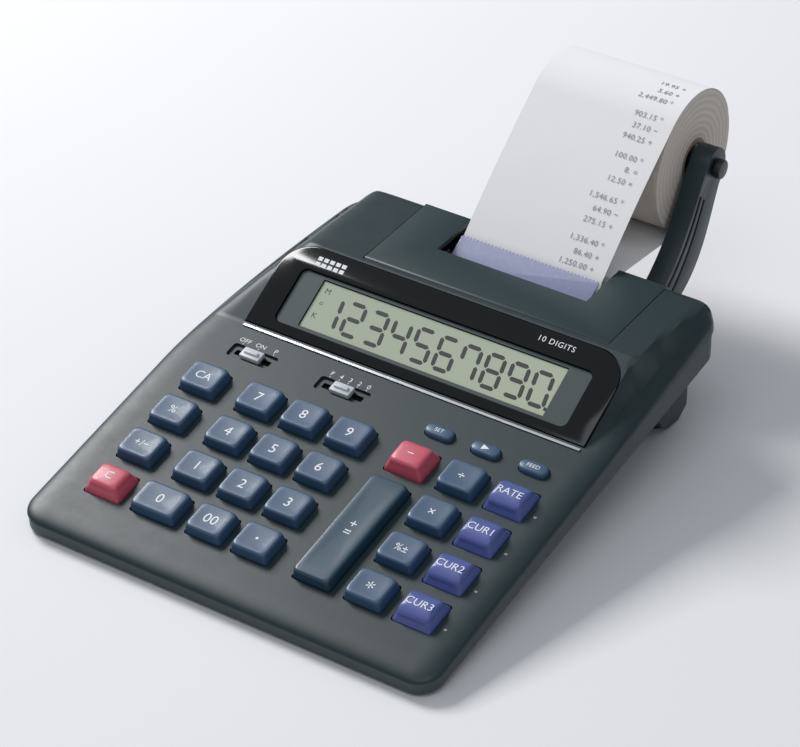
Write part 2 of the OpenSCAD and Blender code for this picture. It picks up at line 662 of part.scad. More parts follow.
module cover_plate() {
  z0 = hinge_top();
  across(cover_l, cover_r) union() {
    translate([cover_y, z0]) circle(barrel_r);
    polygon([[cover_y, z0 + barrel_r], [body_d - 2, rear_h], [body_d, rear_h - 2], [body_d, rear_h - 6.6],
      [body_d - 1.8, rear_h - 6.6], [body_d - 1.8, rear_h - 2.4], [body_d - 3, rear_h - 2], [cover_y,
          z0 - 0.6]]);
  }
}
module printer_cover() {
  color("#263c40") at_body() {
    difference() {
      cover_plate();
      box(paper_x - notch_w / 2, paper_x + notch_w / 2, tear_y - 2, body_d + 1, 0, big / 4);
    }
    for (s = [[cover_l - gap - 2.6, cover_l + 2], [cover_r - 2, cover_r + gap + 2.6]])
      bar(s[0], s[1], cover_y, hinge_top(), 0.8);
  }
}
module tear_bar() {
  color("#9aa0d0", 0.7) at_body() {
    translate([paper_x - paper_w / 2 + 0.4, tear_y, tear_z]) rotate([tear_tilt, 0, 0]) {
      cube([paper_w - 0.8, tear_l, 0.8]);
      for (i = [0:37]) translate([i * 1.48, tear_l, 0]) linear_extrude(0.8) polygon([[0, -0.1], [0.74,
          0.8], [1.4, -0.1]]);
    }
    for (x = [paper_x - frame_in + 0.7, paper_x + frame_in - 2.3])
      box(x, x + 1.6, tear_y - 1, tear_y + 3.5, tear_z - 3, tear_z + 0.5);
    box(paper_x - frame_in + 0.7, paper_x + frame_in - 0.7, tear_y - 1, tear_y + 0.8, tear_z - 1.6,
        tear_z + 0.6);
  }
}

// path of the paper: out of the tear bar and over the roll, and from the roll into the body
function arc(cy, cz, r, a0, a1, n) = [for (i = [0:n]) [cy + r * cos(a0 + (a1 - a0) * i / n),
    cz + r * sin(a0 + (a1 - a0) * i / n)]];
exit_y = tear_y + tear_l * cos(tear_tilt) + 1.4;
exit_z = tear_z + tear_l * sin(tear_tilt) + 0.2;
web_r = roll_r + 0.3;
tape_r = web_r + paper_t;
dy = roll_y - exit_y;
dz = roll_z - exit_z;
up_ang = atan2(dz, dy) + asin(tape_r / sqrt(dy * dy + dz * dz));
in_y = body_d - 1.2;
in_z = rear_h - 5;
fy = roll_y - in_y;
fz = roll_z - in_z;
dn_ang = atan2(fz, fy) - asin(web_r / sqrt(fy * fy + fz * fz));
front_y = platen_y - platen_r - 0.35;
function unit(v) = v / norm(v);
function nrm(p, i) = let(a = i > 0 ? unit(p[i] - p[i - 1]) : unit(p[i + 1] - p[i]),
  b = i < len(p) - 1 ? unit(p[i + 1] - p[i]) : a, m = unit(a + b)) [-m[1], m[0]];
module ribbon(p, t) {
  a = [for (i = [0:len(p) - 1]) p[i]];
  b = [for (i = [len(p) - 1:-1:0]) p[i] - t * nrm(p, i)];
  polygon(concat(a, b));
}
tape_path = concat(arc(roll_y, roll_z, tape_r, 20, up_ang + 90, 20), [[exit_y, exit_z], [front_y,
    platen_z + 4]],
  arc(platen_y, platen_z, platen_r + 0.35, 180, 345, 12), [[in_y - 2.4, in_z - 2.6], [in_y, in_z]]);
feed_path = concat([[in_y, in_z]], arc(roll_y, roll_z, web_r, dn_ang - 90, dn_ang - 80, 3));
module paper_web() {
  color("#f2f2f0") at_body() across(paper_x - paper_w / 2 + 0.2, paper_x + paper_w / 2 - 0.2) {
    ribbon(tape_path, -paper_t);
    ribbon(feed_path, paper_t);
  }
}
module paper_roll() {
  color("#e8e4dc") at_body() difference() {
    bar(paper_x - paper_w / 2, paper_x + paper_w / 2, roll_y, roll_z, roll_r);
    bar(paper_x - paper_w, paper_x + paper_w, roll_y, roll_z, core_r);
  }
}
module roll_core() {
  color("#8a7a64") at_body() difference() {
    bar(paper_x - paper_w / 2, paper_x + paper_w / 2, roll_y, roll_z, core_r);
    bar(paper_x - paper_w, paper_x + paper_w, roll_y, roll_z, core_r - 2);
  }
}
module roll_spindle() {
  color("#101214") at_body() {
    bar(paper_x - paper_w / 2 + 0.5, paper_x + paper_w / 2 - 0.5, roll_y, roll_z, core_r - 2);
    bar(paper_x - arm_in - left_t - 0.4, paper_x + arm_in + arm_t + gap + 0.2, roll_y, roll_z, spindle_r);
    bar(paper_x + arm_in + arm_t + gap, paper_x + arm_in + arm_t + gap + 2.8, roll_y, roll_z,
        spindle_r + 1.3);
    bar(paper_x - arm_in - left_t - 0.4 - 2.4, paper_x - arm_in - left_t - gap, roll_y, roll_z,
        spindle_r + 1.6);
  }
}
arm_a = atan2(roll_z - hinge_z, roll_y - hinge_y);
arm_len = sqrt(pow(roll_z - hinge_z, 2) + pow(roll_y - hinge_y, 2));
arm_n = 14;
arm_belly = 8.9;
arm_waist = 5.6;
function arm_wave(s, k) = pow(sin(180 * pow(s, 0.85)), k);
function arm_rear(s, w) = -w - arm_belly * arm_wave(s, 1.3);
function arm_front(s, w) = w - arm_waist * arm_wave(s, 1.2);
module arm_plate(s0, s1, w) polygon(concat(
  [for (i = [0:arm_n]) let(s = s0 + (s1 - s0) * i / arm_n) [s * arm_len, arm_rear(s, w)]],
  [for (i = [arm_n:-1:0]) let(s = s0 + (s1 - s0) * i / arm_n) [s * arm_len, arm_front(s, w)]]));
module along_arm() translate([hinge_y, hinge_z]) rotate(arm_a) children();
module arm_shape(w0, w1) along_arm() {
  circle(w0);
  translate([arm_len, 0]) circle(w1);
  arm_plate(0, 1, min(w0, w1));
}
module roll_holder() {
  color("#22383c") at_body() difference() {
    union() {
      across(paper_x + arm_in, paper_x + arm_in + arm_t) arm_shape(7.5, 7.3);
      across(paper_x - arm_in - left_t, paper_x - arm_in) arm_shape(7.5, 7.3);
      bar(paper_x - arm_in - eps, paper_x + arm_in + eps, hinge_y, hinge_z, 5);
    }
    bar(paper_x - 80, paper_x + 80, hinge_y, hinge_z, pin_r + run_fit);
    bar(paper_x - 80, paper_x + 80, roll_y, roll_z, spindle_r + run_fit);
    // two grooves along the outside of the right arm
    for (o = [-3.6, -8]) across(paper_x + arm_in + arm_t - 0.8, paper_x + arm_in + arm_t + 1) along_arm()
      polygon(concat([for (i = [0:arm_n]) let(s = 0.2 + 0.6 * i / arm_n) [s * arm_len, arm_front(s,
          7) + o * (1.2 - s * 0.5)]],
        [for (i = [arm_n:-1:0]) let(s = 0.2 + 0.6 * i / arm_n) [s * arm_len, arm_front(s,
            7) + o * (1.2 - s * 0.5) + 1.5]]));
    // hollow in the inner face of the right arm
    across(paper_x + arm_in - 1, paper_x + arm_in + 3.6) along_arm() arm_plate(0.22, 0.8, 5);
  }
}
module holder_pin() {
  color("#a8abae") at_body()
    bar(paper_x - arm_in - left_t - gap - lug_t, paper_x + arm_in + arm_t + gap + lug_t, hinge_y,
        hinge_z, pin_r);
}

key_clear_all();
key_percent();
key_sign();
key_clear();
key_7();
key_8();
key_9();
key_4();
key_5();
key_6();
key_1();
key_2();
key_3();
key_0();
key_00();
key_point();
key_minus();
key_plus_equals();
key_divide();
key_multiply();
key_markup();
key_total();
key_rate_set();
key_rate_1();
key_rate_2();
key_rate_3();
key_set();
key_shift();
key_feed();
power_switch();
decimal_switch();
upper_case();
lower_case();
display_window();
display_bezel();
lcd_panel();
trim_strip();
main_board();
key_mat();
printer_frame();
printer_motor();
motor_pinion();
drum_gear();
type_drum();
platen_gear();
platen_roller();
ink_roller();
printer_cover();
tear_bar();
paper_web();
paper_roll();
roll_core();
roll_spindle();
roll_holder();
holder_pin();
battery_cover();
batteries();
dc_jack();
rubber_feet();
case_screws();
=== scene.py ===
"""Visible model of a desk printing calculator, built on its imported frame."""

import logging
import math
from dataclasses import dataclass, field
from enum import Enum
from typing import Any, Callable, Dict, Iterable, List, Optional, Sequence, Tuple, Union

import bmesh
import bpy
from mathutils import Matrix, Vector


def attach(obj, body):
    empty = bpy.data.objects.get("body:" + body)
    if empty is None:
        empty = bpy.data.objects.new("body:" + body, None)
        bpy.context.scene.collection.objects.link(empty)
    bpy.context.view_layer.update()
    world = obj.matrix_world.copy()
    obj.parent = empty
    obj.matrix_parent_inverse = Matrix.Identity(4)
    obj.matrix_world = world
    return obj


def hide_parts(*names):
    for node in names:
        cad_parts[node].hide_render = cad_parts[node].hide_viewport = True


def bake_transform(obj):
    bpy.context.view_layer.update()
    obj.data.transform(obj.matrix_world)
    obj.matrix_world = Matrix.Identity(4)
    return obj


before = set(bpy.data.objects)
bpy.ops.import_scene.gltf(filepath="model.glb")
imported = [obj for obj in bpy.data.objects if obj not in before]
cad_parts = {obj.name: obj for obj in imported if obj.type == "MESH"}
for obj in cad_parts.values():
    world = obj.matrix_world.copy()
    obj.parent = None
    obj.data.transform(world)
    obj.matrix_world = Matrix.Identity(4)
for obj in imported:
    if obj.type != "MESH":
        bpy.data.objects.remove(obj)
LOG = logging.getLogger("calculator")
MM = 0.001
Point2 = Tuple[float, float]
Point3 = Tuple[float, float, float]
Value = Union["Socket", float, int]


# ---------------------------------------------------------------- shader maths
class Socket:
    """A shader output that takes part in Python arithmetic."""

    def __init__(self, sheet: "NodeSheet", out: bpy.types.NodeSocket) -> None:
        """Holds the node sheet and the output."""
        self.sheet = sheet
        self.out = out

    def _maths(self, operation: str, left: Value, right: Value) -> "Socket":
        """Adds one Math node.

        Args:
            operation: the node's operation.
            left: first value.
            right: second value.

        Returns:
            The node's output.
        """
        return self.sheet.add("ShaderNodeMath", {"operation": operation}, {0: left, 1: right})

    def __add__(self, other: Value) -> "Socket":
        """Sum."""
        return self._maths("ADD", self, other)

    def __sub__(self, other: Value) -> "Socket":
        """Difference."""
        return self._maths("SUBTRACT", self, other)

    def __rsub__(self, other: Value) -> "Socket":
        """Difference, reflected."""
        return self._maths("SUBTRACT", other, self)

    def __mul__(self, other: Value) -> "Socket":
        """Product."""
        return self._maths("MULTIPLY", self, other)

    def __truediv__(self, other: Value) -> "Socket":
        """Quotient."""
        return self._maths("DIVIDE", self, other)

    def __rtruediv__(self, other: Value) -> "Socket":
        """Quotient, reflected."""
        return self._maths("DIVIDE", other, self)

    def __pow__(self, other: Value) -> "Socket":
        """Power."""
        return self._maths("POWER", self, other)

    def __lt__(self, other: Value) -> "Socket":
        """1 where smaller, else 0."""
        return self._maths("LESS_THAN", self, other)

    def __gt__(self, other: Value) -> "Socket":
        """1 where larger, else 0."""
        return self._maths("GREATER_THAN", self, other)

    __radd__ = __add__
    __rmul__ = __mul__

    def sine(self) -> "Socket":
        """Sine of the value."""
        return self._maths("SINE", self, 0.0)

    def root(self) -> "Socket":
        """Square root of the value."""
        return self._maths("SQRT", self, 0.0)

    def clamp(self) -> "Socket":
        """Value held between 0 and 1."""
        return self.sheet.add("ShaderNodeClamp", {}, {"Value": self})


class NodeSheet:
    """The node tree of one material."""

    def __init__(self, name: str) -> None:
        """Makes the material with one Principled shader."""
        self.material = bpy.data.materials.new(name)
        self.material.use_nodes = True
        self.tree = self.material.node_tree
        self.tree.nodes.clear()
        self.shader = self.tree.nodes.new("ShaderNodeBsdfPrincipled")
        self.output = self.tree.nodes.new("ShaderNodeOutputMaterial")
        self.tree.links.new(self.shader.outputs[0], self.output.inputs["Surface"])

    def add(self, kind: str, settings: Dict[str, Any], inputs: Dict[Any, Any], output: Any = 0) -> Socket:
        """Adds a node.

        Args:
            kind: the node's type.
            settings: attributes of the node, and "stops" for a ramp.
            inputs: values or links by socket name or number.
            output: which output is wanted.

        Returns:
            That output as a Socket.
        """
        node = self.tree.nodes.new(kind)
        for key, value in settings.items():
            if key == "stops":
                self._stops(node, value)
            else:
                setattr(node, key, value)
        for key, value in inputs.items():
            self.feed(node.inputs[key], value)
        return Socket(self, node.outputs[output])

    def _stops(self, node: bpy.types.Node, stops: Sequence[Tuple[float, Tuple[float, ...]]]) -> None:
        """Sets a ramp's stops.

        Args:
            node: the ramp.
            stops: position and colour of each stop.
        """
        elements = node.color_ramp.elements
        while len(elements) < len(stops):
            elements.new(0.5)
        for element, (place, colour) in zip(elements, stops):
            element.position = place
            element.color = (*colour[:3], 1.0)

    def feed(self, socket: bpy.types.NodeSocket, value: Any) -> None:
        """Links or sets one input.

        Args:
            socket: the input.
            value: a Socket, number or tuple.
        """
        if isinstance(value, Socket):
            self.tree.links.new(value.out, socket)
        elif isinstance(value, tuple) and len(value) == 3 and socket.type == "RGBA":
            socket.default_value = (*value, 1.0)
        else:
            socket.default_value = value

    def set(self, **inputs: Any) -> None:
        """Feeds the Principled shader.

        Args:
            inputs: values by socket name, with underscores for spaces.
        """
        for key, value in inputs.items():
            self.feed(self.shader.inputs[key.replace("_", " ")], value)

    def place(self) -> Socket:
        """Position on the piece, in metres."""
        return self.add("ShaderNodeTexCoord", {}, {}, "Object")

    def noise(self, scale: float, detail: float = 2.0, rough: float = 0.5,
              at: Optional[Socket] = None) -> Socket:
        """Noise from 0 to 1.

        Args:
            scale: features per metre.
            detail: octaves.
            rough: strength of the fine octaves.
            at: coordinates, or the piece's own.

        Returns:
            The noise value.
        """
        inputs = {"Vector": at or self.place(), "Scale": scale, "Detail": detail, "Roughness": rough}
        return self.add("ShaderNodeTexNoise", {}, inputs, 0)

    def mix(self, share: Value, first: Any, second: Any) -> Socket:
        """Mix of two colours.

        Args:
            share: 0 for the first, 1 for the second.
            first: colour.
            second: colour.

        Returns:
            The mixed colour.
        """
        return self.add("ShaderNodeMix", {"data_type": "RGBA"}, {0: share, 6: first, 7: second}, 2)

    def bump(self, height: Socket, strength: float, distance: float) -> Socket:
        """Bump from a height.

        Args:
            height: height from 0 to 1.
            strength: how much of it shows.
            distance: its depth in metres.

        Returns:
            The bent normal.
        """
        return self.add("ShaderNodeBump", {}, {"Strength": strength, "Distance": distance, "Height": height})

    def axes(self) -> Tuple[Socket, Socket, Socket]:
        """The three coordinates of the position."""
        first = self.add("ShaderNodeSeparateXYZ", {}, {0: self.place()})
        return tuple(Socket(self, out) for out in first.out.node.outputs)


# ---------------------------------------------------------------- finishes
def shade(colour: Point3, share: float) -> Point3:
    """A colour made lighter or darker.

    Args:
        colour: linear colour.
        share: factor on every channel.

    Returns:
        The new colour.
    """
    return tuple(min(1.0, c * share) for c in colour)


@dataclass(frozen=True)
class MouldedPlastic:
    """Spark-textured moulding with faint mottling and handling marks."""

    name: str
    slot: str
    colour: Point3
    roughness: float = 0.42
    grain: float = 900.0
    grain_depth: float = 0.00003
    coat: float = 0.0
    mottle: float = 0.08

    def make(self) -> bpy.types.Material:
        """Builds the material."""
        s = NodeSheet(self.name)
        cloud = s.noise(28.0, 3.0, 0.6)
        fine = s.noise(self.grain, 3.0, 0.65)
        wear = (s.noise(160.0, 4.0, 0.7) - 0.5) * 0.14
        s.set(
            Base_Color=s.mix(cloud, shade(self.colour, 1 - self.mottle), shade(self.colour, 1 + self.mottle)),
            Roughness=(wear + self.roughness).clamp(),
            Normal=s.bump(fine, 0.35, self.grain_depth),
            IOR=1.5,
            Coat_Weight=self.coat,
            Coat_Roughness=0.12,
        )
        return s.material


@dataclass(frozen=True)
class GlossPanel:
    """Hard glossy sheet with faint wipe marks."""

    name: str
    slot: str
    colour: Point3
    roughness: float = 0.06

    def make(self) -> bpy.types.Material:
        """Builds the material."""
        s = NodeSheet(self.name)
        haze = s.noise(60.0, 5.0, 0.7)
        dust = s.noise(2400.0, 2.0, 0.5) > 0.72
        s.set(
            Base_Color=s.mix(dust * 0.25, self.colour, shade(self.colour, 3.0)),
            Roughness=(haze * 0.07 + self.roughness).clamp(),
            Normal=s.bump(s.noise(9.0, 1.0), 0.04, 0.0004),
            IOR=1.52,
        )
        return s.material


@dataclass(frozen=True)
class DisplayGlass:
    """Reflective liquid-crystal glass, green grey, with painted shade darkening it towards the left and the
    rear.
    """

    name: str
    slot: str
    colour: Point3
    shadow: Point3

    def make(self) -> bpy.types.Material:
        """Builds the material."""
        s = NodeSheet(self.name)
        x, y, _ = s.axes()
        # painted shade: a ramp across the glass from the shadow colour at the left and rear to its own colour
        # at the right and front
        painted_shade_ramp = (x * 4.0 + y * -6.0 + 0.45).clamp()
        cells = s.noise(3000.0, 1.0, 0.4)
        painted_shade_tone = s.mix(painted_shade_ramp, self.shadow, self.colour)
        s.set(
            Base_Color=s.mix(cells * 0.12, painted_shade_tone, shade(self.colour, 0.72)),
            Roughness=(cells * 0.1 + 0.2).clamp(),
            Coat_Weight=0.4,
            Coat_Roughness=0.08,
        )
        return s.material


@dataclass(frozen=True)
class BrushedMetal:
    """Drawn or brushed metal with streaks along the width."""

    name: str
    slot: str
    colour: Point3
    roughness: float = 0.3

    def make(self) -> bpy.types.Material:
        """Builds the material."""
        s = NodeSheet(self.name)
        stretch = s.add("ShaderNodeMapping", {}, {"Vector": s.place(), "Scale": (20.0, 2200.0, 2200.0)})
        streak = s.noise(1.0, 3.0, 0.6, stretch)
        s.set(
            Base_Color=s.mix(streak, shade(self.colour, 0.82), shade(self.colour, 1.1)),
            Metallic=1.0,
            Roughness=(streak * 0.2 + self.roughness - 0.1).clamp(),
            Normal=s.bump(streak, 0.2, 0.00002),
        )
        return s.material


@dataclass(frozen=True)
class PaperSheet:
    """Uncoated paper with fibres."""

    name: str
    slot: str
    colour: Point3

    def make(self) -> bpy.types.Material:
        """Builds the material."""
        s = NodeSheet(self.name)
        fibre = s.noise(1500.0, 5.0, 0.75)
        cloud = s.noise(70.0, 2.0, 0.5)
        s.set(
            Base_Color=s.mix(fibre * 0.4 + cloud * 0.5, self.colour, shade(self.colour, 0.93)),
            Roughness=(fibre * 0.1 + 0.8).clamp(),
            Normal=s.bump(fibre, 0.3, 0.00003),
            Sheen_Weight=0.05,
            Subsurface_Weight=0.0,
        )
        return s.material


@dataclass(frozen=True)
class WoundPaper:
    """The wound edge of a paper roll, fine rings round its axis."""

    name: str
    slot: str
    colour: Point3
    line: Point3
    centre: Point2 = (0.0, 0.0)

    def make(self) -> bpy.types.Material:
        """Builds the material."""
        s = NodeSheet(self.name)
        _, y, z = s.axes()
        dy = y - self.centre[0]
        dz = z - self.centre[1]
        radius = (dy * dy + dz * dz).root()
        drift = s.noise(90.0, 2.0) * 3.0
        fine = (radius * 16000.0 + drift).sine() * 0.5 + 0.5
        broad = (radius * 2600.0 + drift * 1.4).sine() * 0.5 + 0.5
        rings = fine * 0.5 + broad * 0.5
        s.set(
            Base_Color=s.mix(rings * 0.7, self.colour, self.line),
            Roughness=(rings * 0.1 + 0.78).clamp(),
            Normal=s.bump(rings, 0.4, 0.00008),
        )
        return s.material


@dataclass(frozen=True)
class TintedClear:
    """Clear tinted plastic of the tear bar, frosted by scratches."""

    name: str
    slot: str
    colour: Point3

    def make(self) -> bpy.types.Material:
        """Builds the material."""
        s = NodeSheet(self.name)
        haze = s.noise(500.0, 4.0, 0.7)
        s.set(
            Base_Color=s.mix(haze * 0.5, self.colour, shade(self.colour, 1.25)),
            Roughness=(haze * 0.2 + 0.12).clamp(),
            Alpha=(haze * 0.12 + 0.62).clamp(),
            IOR=1.49,
            Coat_Weight=0.5,
        )
        return s.material


@dataclass(frozen=True)
class PrintedInk:
    """Printed legend ink with a slightly broken edge."""

    name: str
    slot: str
    colour: Point3
    fade: float = 0.12

    def make(self) -> bpy.types.Material:
        """Builds the material."""
        s = NodeSheet(self.name)
        specks = s.noise(2600.0, 3.0, 0.6)
        s.set(Base_Color=s.mix(specks * self.fade, self.colour, shade(self.colour, 0.5)),
              Roughness=(specks * 0.2 + 0.45).clamp())
        return s.material


@dataclass(frozen=True)
class CircuitBoard:
    """Green board with copper tracks under the lacquer."""

    name: str
    slot: str
    colour: Point3

    def make(self) -> bpy.types.Material:
        """Builds the material."""
        s = NodeSheet(self.name)
        x, y, _ = s.axes()
        tracks = ((x * 1900.0).sine() > 0.6) * ((y * 900.0).sine() > -0.2)
        s.set(Base_Color=s.mix(tracks * 0.6, self.colour, shade(self.colour, 1.9)),
              Roughness=(s.noise(400.0) * 0.2 + 0.25).clamp(),
              Normal=s.bump(tracks, 0.3, 0.00003))
        return s.material


@dataclass(frozen=True)
class SoftRubber:
    """Matte rubber with a dusty bloom."""

    name: str
    slot: str
    colour: Point3

    def make(self) -> bpy.types.Material:
        """Builds the material."""
        s = NodeSheet(self.name)
        bloom = s.noise(240.0, 4.0, 0.7)
        s.set(Base_Color=s.mix(bloom * 0.5, self.colour, shade(self.colour, 1.8)),
              Roughness=(bloom * 0.2 + 0.7).clamp(),
              Normal=s.bump(s.noise(1400.0), 0.3, 0.00004))
        return s.material


Finish = Union[MouldedPlastic, GlossPanel, DisplayGlass, BrushedMetal, PaperSheet, WoundPaper, TintedClear,
               PrintedInk, CircuitBoard, SoftRubber]


class Dresser:
    """Makes each finish once and puts it on pieces."""

    def __init__(self) -> None:
        """Starts with nothing made."""
        self.made: Dict[str, bpy.types.Material] = {}

    def material(self, finish: Finish) -> bpy.types.Material:
        """The material of a finish."""
        if finish.name not in self.made:
            self.made[finish.name] = finish.make()
        return self.made[finish.name]

    def dress(self, piece: bpy.types.Object, finish: Finish, body: str, *nodes: str) -> bpy.types.Object:
        """Gives a new piece its finish and body.

        Args:
            piece: the piece.
            finish: its finish.
            body: the CAD body that it rides on, or nothing for a piece that runs between two and is left
                unattached.
            nodes: the CAD nodes that it stands for.

        Returns:
            The piece.
        """
        piece.data.materials.clear()
        piece.data.materials.append(self.material(finish))
        if body:
            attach(piece, body)
        if nodes:
            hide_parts(*nodes)
        LOG.info("piece %s on %s", piece.name, body or "two bodies")
        return piece

    def redress(self, node: str, finish: Finish) -> None:
        """Gives a carried-over CAD node its finish.

        Args:
            node: the node's name.
            finish: its finish.
        """
        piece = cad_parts[node]
        if not piece.material_slots:
            piece.data.materials.append(self.material(finish))
        for holder in piece.material_slots:
            holder.material = self.material(finish)
        LOG.info("node %s dressed as %s", node, finish.name)


TEAL = MouldedPlastic("case_teal", "case_teal", (0.008, 0.025, 0.031), 0.42)
GREY = MouldedPlastic("case_grey", "case_grey", (0.036, 0.056, 0.058), 0.46)
COVER = MouldedPlastic("cover_teal", "cover_teal", (0.012, 0.032, 0.038), 0.42)
SLATE = MouldedPlastic("key_slate", "key_slate", (0.040, 0.090, 0.165), 0.40, 1100.0, 0.00002, 0.15, 0.05)
RED = MouldedPlastic("key_red", "key_red", (0.56, 0.085, 0.130), 0.40, 1100.0, 0.00002, 0.15, 0.05)
VIOLET = MouldedPlastic("key_violet", "key_violet", (0.075, 0.105, 0.330), 0.40, 1100.0, 0.00002, 0.15, 0.05)
DEEP = MouldedPlastic("key_teal", "key_teal", (0.016, 0.055, 0.090), 0.40, 1100.0, 0.00002, 0.15, 0.05)
KNOB = MouldedPlastic("switch_grey", "switch_grey", (0.52, 0.56, 0.60), 0.45)
DARK = MouldedPlastic("dark_plastic", "dark_plastic", (0.016, 0.018, 0.020), 0.38)
INNER = MouldedPlastic("bezel_green", "bezel_green", (0.030, 0.050, 0.052), 0.5)
BLACK = GlossPanel("window_black", "window_black", (0.003, 0.0035, 0.004))
# the display glass's second colour is its painted shade, darker than its own green grey
GLASS = DisplayGlass("lcd", "lcd", (0.50, 0.56, 0.42), (0.36, 0.42, 0.34))
SILVER = BrushedMetal("silver", "silver", (0.78, 0.80, 0.83), 0.25)
STEEL = BrushedMetal("steel", "steel", (0.56, 0.57, 0.59), 0.3)
BRASS = BrushedMetal("brass", "brass", (0.75, 0.55, 0.24), 0.3)
TAPE = PaperSheet("paper", "paper", (0.86, 0.86, 0.87))
CARD = PaperSheet("card", "card", (0.30, 0.23, 0.16))
CLEAR = TintedClear("tear_clear", "tear_clear", (0.36, 0.39, 0.58))
WHITE_INK = PrintedInk("legend_white", "switch_grey", (0.80, 0.84, 0.88))
SEGMENT = PrintedInk("segment_dark", "dark_plastic", (0.018, 0.024, 0.020), 0.05)
TAPE_INK = PrintedInk("tape_ink", "type_metal", (0.30, 0.30, 0.38), 0.5)
BOARD = CircuitBoard("board_green", "board_green", (0.03, 0.17, 0.07))
MAT = SoftRubber("grey_rubber", "grey_rubber", (0.20, 0.21, 0.22))
RUBBER = SoftRubber("black_rubber", "black_rubber", (0.02, 0.02, 0.02))
NYLON = MouldedPlastic("gear_nylon", "gear_nylon", (0.70, 0.68, 0.60), 0.4)
TYPE = MouldedPlastic("type_metal", "type_metal", (0.22, 0.21, 0.20), 0.35)
FELT = SoftRubber("ink_felt", "ink_felt", (0.05, 0.03, 0.09))
CELL = MouldedPlastic("battery", "battery", (0.10, 0.09, 0.08), 0.25, 400.0, 0.00001, 0.4)


# ---------------------------------------------------------------- mesh making
def new_piece(name: str, verts: Sequence[Sequence[float]], faces: Sequence[Sequence[int]],
              smooth: float = 32.0) -> bpy.types.Object:
    """A mesh piece in metres.

    Args:
        name: the piece's name.
        verts: points in millimetres in the row frame.
        faces: point numbers of each face.
        smooth: edges sharper than this many degrees stay crisp.

    Returns:
        The piece.
    """
    mesh = bpy.data.meshes.new(name)
    mesh.from_pydata([Vector(v) * MM for v in verts], [], faces)
    mesh.validate()
    piece = bpy.data.objects.new(name, mesh)
    bpy.context.scene.collection.objects.link(piece)
    soften(piece, smooth)
    return piece


def soften(piece: bpy.types.Object, smooth: float) -> None:
    """Smooth shading with crisp edges.

    Args:
        piece: the piece.
        smooth: the angle in degrees above which an edge is crisp.
    """
    work = bmesh.new()
    work.from_mesh(piece.data)
    bmesh.ops.recalc_face_normals(work, faces=work.faces)
    work.to_mesh(piece.data)
    work.free()
    piece.data.polygons.foreach_set("use_smooth", [True] * len(piece.data.polygons))
    piece.data.set_sharp_from_angle(angle=math.radians(smooth))


def settle(piece: bpy.types.Object) -> bpy.types.Object:
    """Applies every modifier of a piece.

    Args:
        piece: the piece.

    Returns:
        The piece.
    """
    graph = bpy.context.evaluated_depsgraph_get()
    mesh = bpy.data.meshes.new_from_object(piece.evaluated_get(graph))
    piece.modifiers.clear()
    old = piece.data
    piece.data = mesh
    bpy.data.meshes.remove(old)
    return piece


def bevelled(node: str, name: str, width: float, segments: int = 3, angle: float = 30.0,
             smooth: float = 40.0) -> bpy.types.Object:
    """A moulded piece in a CAD node's shape, with rounded edges.

    Args:
        node: the CAD node.
        name: the piece's name.
        width: the edge rounding in millimetres.
        segments: steps across the rounding.
        angle: edges sharper than this are rounded.
        smooth: crease angle of the shading.

    Returns:
        The piece.
    """
    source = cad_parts[node].data
    work = bmesh.new()
    work.from_mesh(source)
    bmesh.ops.remove_doubles(work, verts=work.verts, dist=0.000005)
    bmesh.ops.dissolve_limit(work, angle_limit=math.radians(1.0), verts=work.verts, edges=work.edges)
    mesh = bpy.data.meshes.new(name)
    work.to_mesh(mesh)
    work.free()
    piece = bpy.data.objects.new(name, mesh)
    bpy.context.scene.collection.objects.link(piece)
    bevel = piece.modifiers.new("edge", "BEVEL")
    bevel.width = width * MM
    bevel.segments = segments
    bevel.limit_method = "ANGLE"
    bevel.angle_limit = math.radians(angle)
    bevel.use_clamp_overlap = True
    settle(piece)
    soften(piece, smooth)
    return piece


def carve(piece: bpy.types.Object, tool: bpy.types.Object) -> None:
    """Cuts a tool's shape out of a piece and removes the tool.

    Args:
        piece: the piece to cut.
        tool: the shape to take away.
    """
    cut = piece.modifiers.new("cut", "BOOLEAN")
    cut.operation = "DIFFERENCE"
    cut.solver = "EXACT"
    cut.object = tool
    settle(piece)
    bpy.data.objects.remove(tool)


def ring_faces(count: int, steps: int, caps: bool = True) -> List[List[int]]:
    """Faces of a loft.

    Args:
        count: points per ring.
        steps: number of rings.
        caps: whether the ends are closed.

    Returns:
        The faces.
    """
    faces = [[r * count + i, r * count + (i + 1) % count, (r + 1) * count + (i + 1) % count,
              (r + 1) * count + i]
             for r in range(steps - 1) for i in range(count)]
    if caps:
        faces.append(list(range(count))[::-1])
        faces.append([(steps - 1) * count + i for i in range(count)])
    return faces


def round_box(half_w: float, half_l: float, radius: float, steps: int = 6) -> List[Point2]:
    """Outline of a rounded rectangle about the origin.

    Args:
        half_w: half the width.
        half_l: half the length.
        radius: corner radius.
        steps: steps round each corner.

    Returns:
        The outline's points, anticlockwise.
    """
    r = max(min(radius, half_w - 0.01, half_l - 0.01), 0.01)
    points = []
    for k, (sx, sy) in enumerate(((1, 1), (-1, 1), (-1, -1), (1, -1))):
        for i in range(steps + 1):
            a = math.radians(90 * k + 90 * i / steps)
            points.append((sx * (half_w - r) + r * math.cos(a), sy * (half_l - r) + r * math.sin(a)))
    return points


